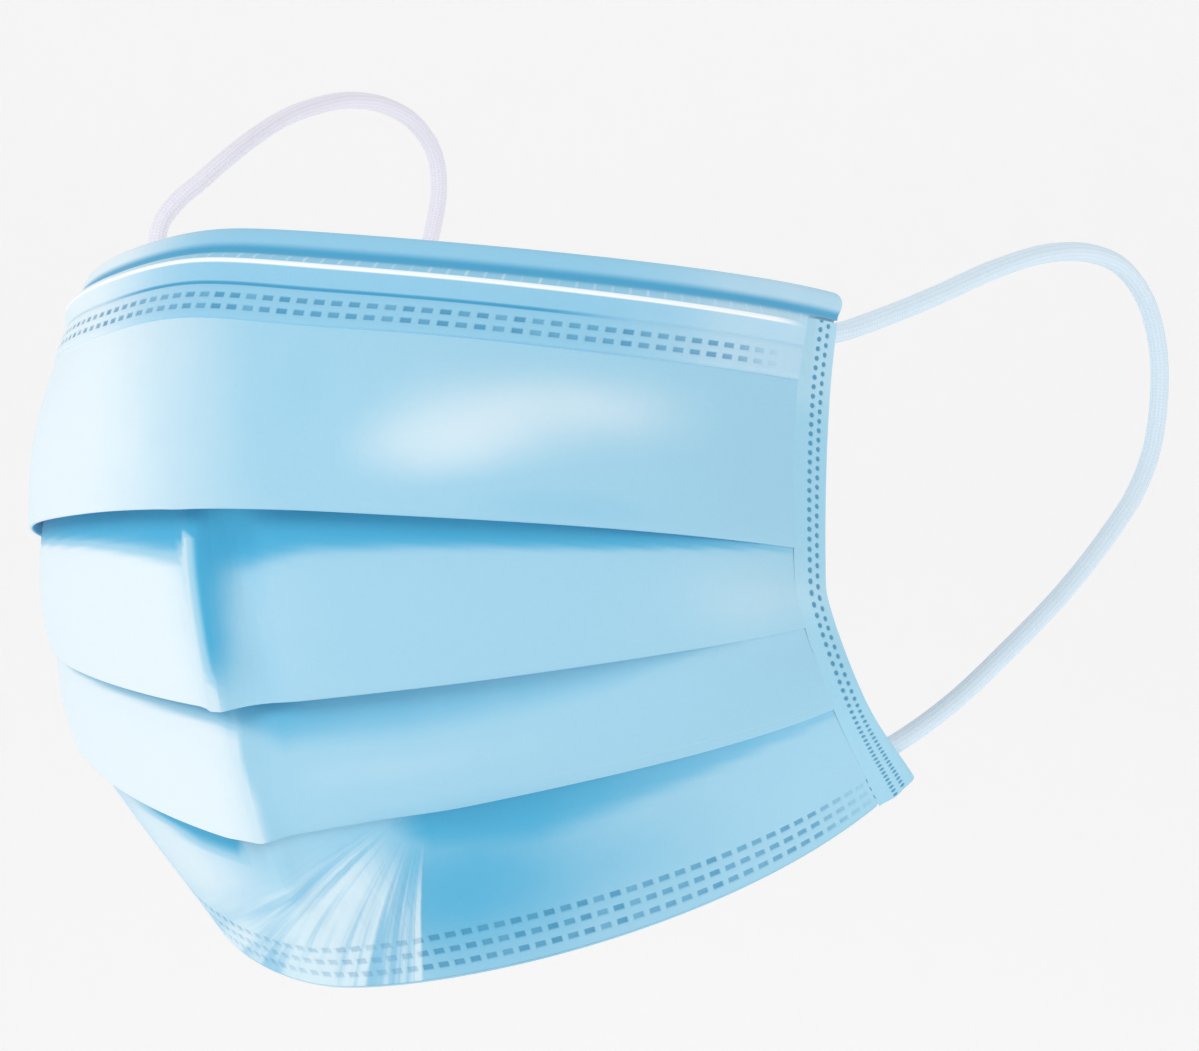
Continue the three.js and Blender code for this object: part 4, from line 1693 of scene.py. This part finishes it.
    @staticmethod
    def flattened(off: Array, lengths: Array, half_length: float) -> Array:
        """Makes a grid of heights in which the ridge dies away towards the corner tabs.

        Args:
            off: heights, one for each level.
            lengths: the columns' lengths from the middle.
            half_length: length from the middle to where the tabs begin.

        Returns:
            Heights, a row for each level and a column for each length.
        """
        base = np.sign(off) * np.minimum(np.abs(off), np.abs(off[0]) + 0.05)
        keep = 1.0 - smooth_step(np.abs(lengths), half_length - 5.0, half_length + 1.0)
        return base[:, None] + (off - base)[:, None] * keep[None, :]

    def with_detail(self, off: Array, levels: Array, lengths: Array, half_length: float) -> Array:
        """Makes the grid of outer heights, with the dashes pressed in.

        Args:
            off: heights, one for each level.
            levels: levels down of the rows.
            lengths: the columns' lengths from the middle.
            half_length: length from the middle to where the tabs begin.

        Returns:
            Heights, a row for each level.
        """
        grid = self.flattened(off, lengths, half_length)
        front = (off > 0.3)[:, None] & (levels > 3.0)[:, None]
        fade = 1.0 - smooth_step(np.abs(lengths), half_length - 12.0, half_length - 2.0)
        return grid - np.where(front, TOP_DASHES.pressed(lengths[None, :], levels[:, None]), 0.0) * fade

    def cells(self, levels: Array, lengths: Array, half_length: float) -> Array:
        """Picks the cells that exist: all between the bindings, and the corner tabs.

        Args:
            levels: levels down of the rows.
            lengths: the columns' lengths from the middle.
            half_length: length from the middle to where the tabs begin.

        Returns:
            Which cells exist.
        """
        columns = (np.abs(lengths[:-1]) < half_length + 0.01) & (np.abs(lengths[1:]) < half_length + 0.01)
        rows = (levels[:-1] <= self.tab_height) & (levels[1:] <= self.tab_height)
        return columns[None, :] | rows[:, None]

    @staticmethod
    def tone(across: Array) -> Array:
        """Returns the hem's painted light: over the wearer's right cheek and towards the left end."""
        return -0.95 * smooth_step(-across, -0.12, 0.40) - 0.42 * smooth_step(across, 0.50, 0.85)


@dataclass
class NoseWire:
    """The flat bendable strip between the panel and the top hem."""

    form: FaceForm
    finish: WireFinish
    level: float = 6.8
    width: float = 2.2
    thickness: float = 0.5
    half_length: float = 86.0
    columns: int = 180

    def build(self) -> bpy.types.Object:
        """Builds and dresses the strip, with a rounded cross-section.

        Returns:
            The finished piece.
        """
        scale = self.form.down_length
        share = self.half_length / self.form.across_length
        across = np.linspace(-share, share, self.columns)
        seat = CLOTH.panel / 2.0 + CLOTH.gap / 2.0
        places = np.array([-1.0, -0.92, -0.7, -0.35, 0.0, 0.35, 0.7, 0.92, 1.0])
        swell = self.thickness / 2.0 * np.sqrt(1.0 - 0.75 * places**4)
        down = (self.level + places * self.width / 2.0) / scale
        grid = np.broadcast_to(across, (len(places), len(across)))
        middle = seat + self.thickness / 2.0
        downs = np.broadcast_to(down[:, None], grid.shape)
        skins = [Skin(grid, downs, np.broadcast_to((middle + sign * swell)[:, None], grid.shape))
                 for sign in (1.0, -1.0)]
        shell = ClothShell(self.form, "coated_nose_wire", *skins, across * self.form.across_length)
        piece = shell.build()
        piece.data.materials.append(self.finish.build())
        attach(piece, "root")
        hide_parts("nose_wire")
        return piece


@dataclass
class BottomHem:
    """The strip folded under the bottom edge and up inside."""

    form: FaceForm
    finish: ClothFinish
    flap: float = 9.0
    fold_points: int = 9
    rows: int = 14
    plain_columns: int = 260

    def build(self) -> bpy.types.Object:
        """Builds and dresses the hem.

        Returns:
            The finished piece.
        """
        scale = self.form.down_length
        end = 1.0 - (CLOTH.binding_width + CLOTH.hem_end_gap) / self.form.side_stretch
        across = np.linspace(-end, end, self.plain_columns)
        front = CLOTH.panel / 2.0
        skin = front + CLOTH.gap + CLOTH.hem
        radius, hollow = (front + skin) / 2.0, (front + skin) / 2.0 - CLOTH.hem
        turn = np.linspace(math.pi / 2.0, -math.pi / 2.0, self.fold_points)
        rise = np.linspace(radius, self.flap, self.rows)[1:]
        middle = front - radius
        outer_level = np.concatenate([radius - radius * np.cos(turn), rise])
        inner_level = np.concatenate([radius - hollow * np.cos(turn), rise])
        outer_off = np.concatenate([middle + radius * np.sin(turn), np.full_like(rise, -skin)])
        inner_off = np.concatenate([middle + hollow * np.sin(turn), np.full_like(rise, CLOTH.hem - skin)])
        shape = (len(outer_level), len(across))
        grid = np.broadcast_to(across, shape)
        skins = []
        for level, off in ((outer_level, outer_off), (inner_level, inner_off)):
            down = np.broadcast_to((1.0 - level / scale)[:, None], shape)
            skins.append(Skin(grid, down, np.broadcast_to(off[:, None], shape), self.tone(grid)))
        lengths = across * self.form.length((0.0, 0.96), (1.0, 0.96))
        piece = ClothShell(self.form, "folded_bottom_hem", *skins, lengths).build()
        piece.data.materials.append(self.finish.build())
        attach(piece, "root")
        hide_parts("bottom_hem")
        return piece

    @staticmethod
    def tone(across: Array) -> Array:
        """Returns the hem's painted shade beside the chin gathers and painted light over them."""
        beside = np.exp(-(((across - 0.4) / 0.2) ** 2))
        over = np.exp(-(((across + 0.05) / 0.2) ** 2))
        return 0.35 * beside - 0.5 * over


@dataclass
class SideBinding:
    """The narrow strip folded round a side edge, with two staggered rows of round welds."""

    form: FaceForm
    finish: BindingFinish
    side: int
    tab_height: float = 5.3
    rows_per_pitch: int = 6
    press: float = 0.12
    front_places: tuple[float, ...] = (
        6.5, 6.2, 5.8, 5.2, 4.7, 4.5, 4.3, 4.15, 4.0, 3.85, 3.7, 3.5, 3.3, 3.0, 2.8, 2.65, 2.5, 2.35, 2.2,
        2.0, 1.6, 1.15)

    def build(self, name: str, node: str) -> bpy.types.Object:
        """Builds and dresses one binding.

        Args:
            name: the piece's name.
            node: the node that it stands for.

        Returns:
            The finished piece.
        """
        form, finish = self.form, self.finish
        start = self.tab_height / form.down_length
        share = np.linspace(0.0, 1.0, 201)
        edge = form.point(np.full_like(share, float(self.side)), start + (1.0 - start) * share)
        run = np.concatenate([[0.0], np.linalg.norm(np.diff(edge, axis=0), axis=1).cumsum()])
        count = int(run[-1] / finish.pitch * self.rows_per_pitch)
        lengths = np.linspace(0.0, run[-1], count)
        down = start + (1.0 - start) * np.interp(lengths, run, share)
        outer_place, outer_off, inner_place, inner_off, mark = self.section()
        shape = (count, len(mark))
        dents = self.dents(lengths[:, None], np.abs(mark)[None, :]) * np.sign(outer_off)[None, :]
        skins = []
        for place, off in ((outer_place, outer_off), (inner_place, inner_off)):
            across = self.side * (1.0 - place / form.side_stretch)
            across, downs = np.broadcast_to(across, shape), np.broadcast_to(down[:, None], shape)
            skins.append(Skin(across, downs, np.broadcast_to(off, shape), self.tone(across, downs)))
        skins[0].off = skins[0].off - dents
        if self.side < 0:
            skins = [Skin(*(grid[:, ::-1] for grid in (skin.across, skin.down, skin.off, skin.tone)))
                     for skin in skins]
            mark = mark[::-1]
        piece = ClothShell(form, name, *skins, mark).build()
        self.pattern(piece, np.broadcast_to(lengths[:, None], shape), np.broadcast_to(mark, shape))
        piece.data.materials.append(finish.build())
        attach(piece, "root")
        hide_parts(node)
        return piece

    def tone(self, across: Array, down: Array) -> Array:
        """Works out the strip's painted light: as the hem's end at the top, as the panel's further down.

        Args:
            across: shares across.
            down: shares down.

        Returns:
            Painted light, below 0 for lighter cloth.
        """
        # Painted light at the top end, along the middle and over the whole of the wearer's right side.
        pale_end = -0.3 * (1.0 - smooth_step(down, HEM_LINE, HEM_LINE + 0.08))
        middle = -0.3 * np.exp(-(((down - 0.5) / 0.14) ** 2))
        right = -0.6 * (across < 0.0)
        return pale_end + middle + right

    def section(self) -> tuple[Array, Array, Array, Array, Array]:
        """Returns the section from the front face round the edge to the inner face.

        Returns:
            Distances from the side edge and heights of the outer face, the same of the inner face,
            and distances from the edge measured over the surface, negative on the inner side.
        """
        seat, wall = CLOTH.binding_seat, CLOTH.binding_wall
        skin = seat + wall
        front = np.array(self.front_places)
        turn = np.linspace(math.pi / 2.0, -math.pi / 2.0, 9)
        rise = smooth_step(self.front_places[0] - front, 0.0, 2.6)
        over = CLOTH.binding_edge + (skin - CLOTH.binding_edge) * rise
        under = np.minimum(CLOTH.binding_edge - 0.04, seat) + (seat - CLOTH.binding_edge + 0.04) * rise
        outer_place = np.concatenate([front, skin - skin * np.cos(turn), front[::-1]])
        outer_off = np.concatenate([over, skin * np.sin(turn), -over[::-1]])
        inner_place = np.concatenate([front, skin - seat * np.cos(turn), front[::-1]])
        inner_off = np.concatenate([under, seat * np.sin(turn), -under[::-1]])
        around = np.sign(turn) * (1.0 - np.cos(turn)) * skin
        around = np.where(turn >= 0.0, np.maximum(around, 0.02), np.minimum(around, -0.02))
        mark = np.concatenate([front, around, -front[::-1]])
        return outer_place, outer_off, inner_place, inner_off, mark

    def dents(self, along: Array, place: Array) -> Array:
        """Works out how deep the round welds press the strip.

        Args:
            along: lengths down the edge.
            place: distances from the edge.

        Returns:
            Depths in millimetres.
        """
        finish = self.finish
        depth = 0.0
        for row, shift in zip(finish.rows, (0.0, 0.5)):
            off = ((along / finish.pitch + shift) % 1.0 - 0.5) * finish.pitch
            away = np.sqrt(off**2 + (place - row) ** 2)
            depth = depth + self.press * (1.0 - smooth_step(away, finish.dot - 0.08, finish.dot + 0.16))
        return depth

    def pattern(self, piece: bpy.types.Object, along: Array, place: Array) -> None:
        """Writes the welds' coordinates on the strip's points.

        Args:
            piece: the strip.
            along: lengths down the edge.
            place: distances from the edge.
        """
        face = np.concatenate([np.ones(along.size), np.zeros(along.size)])
        values = np.stack([np.tile(along.ravel(), 2), np.abs(np.tile(place.ravel(), 2)), face], axis=1)
        piece.data.attributes["pattern"].data.foreach_set("vector", values.astype(np.float32).ravel())


@dataclass
class EarLoop:
    """A round elastic cord whose flattened ends are welded inside the mask's corners."""

    form: FaceForm
    finish: ElasticFinish
    route: tuple[tuple[float, float, float], ...]
    length: float
    side: int
    diameter: float = 3.0
    corners: int = 20
    step: float = 1.0
    weld_length: float = 7.0
    weld_flat: float = 0.42
    weld_widen: float = 0.25
    weld_shift: float = 1.35

    def build(self, name: str, node: str) -> bpy.types.Object:
        """Builds and dresses one loop.

        Args:
            name: the piece's name.
            node: the node that it stands for.

        Returns:
            The finished piece.
        """
        line = self.centreline()
        run = np.concatenate([[0.0], np.linalg.norm(np.diff(line, axis=0), axis=1).cumsum()])
        near, normal = self.weld_ends(line, run)
        line = line + normal * (self.weld_shift * near)[:, None]
        ahead = np.gradient(line, axis=0)
        ahead /= np.linalg.norm(ahead, axis=1, keepdims=True)
        turn = np.linspace(0.0, 2.0 * math.pi, self.corners, endpoint=False)
        first = np.cross(ahead[0], normal[0])
        rings = []
        for centre, direction, out, flat in zip(line, ahead, normal, near):
            first = first - direction * (first @ direction)
            first = first / np.linalg.norm(first)
            second = np.cross(direction, first)
            ring = np.outer(np.cos(turn), first) + np.outer(np.sin(turn), second)
            ring = ring * self.diameter / 2.0
            press = np.outer(ring @ out, out)
            widened = (ring - press) * (1.0 + self.weld_widen * flat)
            ring = widened + press * (1.0 - (1.0 - self.weld_flat) * flat)
            rings.append(centre + ring)
        rings = self.rounded(rings, line)
        piece = self.tube(name, np.array(rings) * MM, run, near)
        piece.data.materials.append(self.finish.build())
        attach(piece, "root")
        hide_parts(node)
        tuple(line[0] * MM)
        self.diameter * MM
        [tuple(p) for p in line * MM]
        return piece

    def centreline(self) -> Array:
        """Draws a smooth curve through the route.

        Returns:
            Evenly spaced points, in millimetres.
        """
        points = np.array(self.route)
        ends = [2.0 * points[0] - points[1], *points, 2.0 * points[-1] - points[-2]]
        path = []
        for p0, p1, p2, p3 in zip(ends, ends[1:], ends[2:], ends[3:]):
            gaps = [max(np.linalg.norm(b - a), 1e-6) ** 0.5 for a, b in ((p0, p1), (p1, p2), (p2, p3))]
            leave = (p1 - p0) / gaps[0] - (p2 - p0) / (gaps[0] + gaps[1]) + (p2 - p1) / gaps[1]
            arrive = (p2 - p1) / gaps[1] - (p3 - p1) / (gaps[1] + gaps[2]) + (p3 - p2) / gaps[2]
            leave, arrive = leave * gaps[1], arrive * gaps[1]
            for t in np.linspace(0.0, 1.0, 16, endpoint=False):
                path.append((2 * t**3 - 3 * t**2 + 1) * p1 + (t**3 - 2 * t**2 + t) * leave
                            + (3 * t**2 - 2 * t**3) * p2 + (t**3 - t**2) * arrive)
        path = np.array([*path, points[-1]])
        run = np.concatenate([[0.0], np.linalg.norm(np.diff(path, axis=0), axis=1).cumsum()])
        even = np.linspace(0.0, run[-1], int(run[-1] / self.step))
        return np.stack([np.interp(even, run, path[:, axis]) for axis in range(3)], axis=1)

    def weld_ends(self, line: Array, run: Array) -> tuple[Array, Array]:
        """Finds the welded ends.

        Args:
            line: the centreline.
            run: its length up to each point.

        Returns:
            How flat the cord is at each point, from 0 to 1, and the cloth's outward direction there.
        """
        start = 1.0 - smooth_step(run, self.weld_length * 0.4, self.weld_length)
        end = smooth_step(run, run[-1] - self.weld_length, run[-1] - self.weld_length * 0.4)
        across = np.array(self.side * 0.97)
        normals = []
        for place in (line[0], line[-1]):
            downs = np.linspace(0.02, 1.0, 200)
            rows = self.form.point(np.full_like(downs, across), downs)
            best = downs[np.argmin(np.linalg.norm(rows - place, axis=1))]
            normals.append(self.form.normal(across, np.array(best)))
        half = (run > run[-1] / 2.0)[:, None]
        return start + end, np.where(half, normals[1], normals[0])

    @staticmethod
    def rounded(rings: list[Array], line: Array) -> list[Array]:
        """Draws the last ring at each end in, so that the ends look pressed.

        Args:
            rings: the cord's rings of points.
            line: their centres.

        Returns:
            The rings.
        """
        drawn = 0.55
        for index in (0, -1):
            rings[index] = line[index] + (rings[index] - line[index]) * drawn
        return rings

    def tube(self, name: str, rings: Array, run: Array, near: Array) -> bpy.types.Object:
        """Joins rings into a closed tube with its pattern: share round, length along, weld.

        Args:
            name: the piece's name.
            rings: rings of points, in metres.
            run: the cord's length up to each ring.
            near: how flat the cord is at each ring.

        Returns:
            The tube as an object.
        """
        count, corners = rings.shape[:2]
        number = np.arange(count * corners).reshape(count, corners)
        after = np.roll(number, -1, axis=1)
        quads = np.stack([number[:-1], after[:-1], after[1:], number[1:]], axis=-1).reshape(-1, 4)
        first, last = count * corners, count * corners + 1
        points = np.concatenate([rings.reshape(-1, 3), rings[0].mean(0)[None], rings[-1].mean(0)[None]])
        caps = [[after[0, i], number[0, i], first] for i in range(corners)]
        caps += [[number[-1, i], after[-1, i], last] for i in range(corners)]
        start = np.tile(np.arange(corners) / corners, count - 1)
        turns = start[:, None] + np.array([0.0, 1.0, 1.0, 0.0]) / corners
        before, beyond = np.repeat(run[:-1], corners), np.repeat(run[1:], corners)
        flat, flat_beyond = np.repeat(near[:-1], corners), np.repeat(near[1:], corners)
        along = np.stack([before, before, beyond, beyond], axis=1)
        weld = np.stack([flat, flat, flat_beyond, flat_beyond], axis=1)
        sides = np.stack([turns, along, weld], axis=-1).reshape(-1, 3)
        ends = [[0.0, end, 1.0] for end in (run[0], run[-1]) for _ in range(3 * corners)]
        mesh = bpy.data.meshes.new(name)
        mesh.from_pydata(points.tolist(), [], [*quads.tolist(), *caps])
        layer = mesh.attributes.new("pattern", "FLOAT_VECTOR", "CORNER")
        layer.data.foreach_set("vector", np.vstack([sides, ends]).astype(np.float32).ravel())
        piece = bpy.data.objects.new(name, mesh)
        bpy.context.scene.collection.objects.link(piece)
        select_only(piece)
        bpy.ops.object.shade_smooth()
        return piece


LEFT_LOOP_LENGTH = 210.0
RIGHT_LOOP_LENGTH = 248.5
LEFT_LOOP_ROUTE = (
    (62.2, -9.3, 30.4), (62.3, -3.8, 30.6), (63.3, 3.6, 31.4), (65.4, 12.6, 34.0),
    (67.6, 24.6, 37.9), (69.2, 37.4, 42.2), (70.6, 50.6, 45.4), (71.6, 62.6, 46.2),
    (72.1, 72.8, 44.2), (72.4, 80.2, 38.4), (72.4, 83.8, 29.6), (72.2, 82.4, 17.2),
    (71.8, 77.6, 9.0), (71.0, 69.8, 1.6), (69.4, 57.6, -8.0), (67.2, 45.4, -16.4),
    (64.6, 33.6, -24.2), (61.8, 22.6, -30.0), (60.3, 14.8, -32.6), (59.6, 8.9, -34.4),
)
RIGHT_LOOP_ROUTE = (
    (-62.2, -9.3, 30.4), (-62.1, -4.2, 30.7), (-63.2, 0.4, 32.4), (-67.0, 2.2, 36.8),
    (-71.0, 2.2, 43.2), (-73.5, 2.9, 49.2), (-73.7, 4.4, 54.2), (-71.9, 6.8, 58.2),
    (-70.1, 9.6, 61.0), (-68.7, 13.4, 64.4), (-68.2, 18.4, 67.8), (-68.6, 24.6, 71.1),
    (-69.2, 32.0, 74.3), (-70.1, 41.0, 76.9), (-71.7, 51.0, 78.7), (-72.8, 62.2, 78.7),
    (-72.6, 69.9, 76.3), (-72.5, 75.4, 71.4), (-72.4, 76.8, 65.6), (-72.2, 74.8, 57.4),
    (-71.6, 68.6, 45.4), (-70.4, 59.2, 29.8), (-68.6, 48.6, 12.6), (-66.4, 37.6, -4.4),
    (-63.8, 27.0, -20.0), (-61.2, 17.6, -30.6), (-59.6, 8.9, -34.4),
)


def main() -> None:
    """Builds the mask, piece by piece, in its studio."""
    logging.basicConfig(level=logging.INFO, format="%(name)s: %(message)s")
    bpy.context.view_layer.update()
    form = FaceForm()
    camera = PhotoCamera()
    camera.build()
    # Both loops are one elastic; the far loop's lavender tint is painted reflected light.
    near = ElasticFinish("near_elastic", srgb(224, 239, 249), srgb(200, 223, 240))
    far = ElasticFinish("far_elastic", srgb(244, 242, 250), srgb(222, 220, 238))
    left_loop = EarLoop(form, near, LEFT_LOOP_ROUTE, LEFT_LOOP_LENGTH, 1)
    right_loop = EarLoop(form, far, RIGHT_LOOP_ROUTE, RIGHT_LOOP_LENGTH, -1)
    pieces = [
        left_loop.build("left_elastic_loop", "ear_loop_left"),
        right_loop.build("right_elastic_loop", "ear_loop_right"),
    ]
    fan = GatherFinish(deep=srgb(138, 196, 226), painted_light=srgb(218, 238, 247))
    panel_finish = ClothFinish("panel_cloth", dashes=BOTTOM_DASHES, from_bottom=True, fan=fan)
    hem_finish = HemFinish("hem_cloth", dashes=TOP_DASHES, plain=srgb(146, 202, 230))
    low_finish = ClothFinish("low_hem_cloth", dashes=BOTTOM_DASHES, from_bottom=True)
    binding_finish = BindingFinish("binding_cloth", plain=srgb(160, 211, 234))
    panel = MaskBody(form, panel_finish).build()
    edging = [
        TopHem(form, hem_finish).build(),
        NoseWire(form, WireFinish("wire_coat")).build(),
        BottomHem(form, low_finish).build(),
        SideBinding(form, binding_finish, 1).build("left_side_binding", "side_binding_left"),
        SideBinding(form, binding_finish, -1).build("right_side_binding", "side_binding_right"),
    ]
    for piece in [*pieces, panel, *edging]:
        LOG.info("%s: %d faces", piece.name, len(piece.data.polygons))
    Studio(camera).build()


if __name__ == "__main__":
    main()
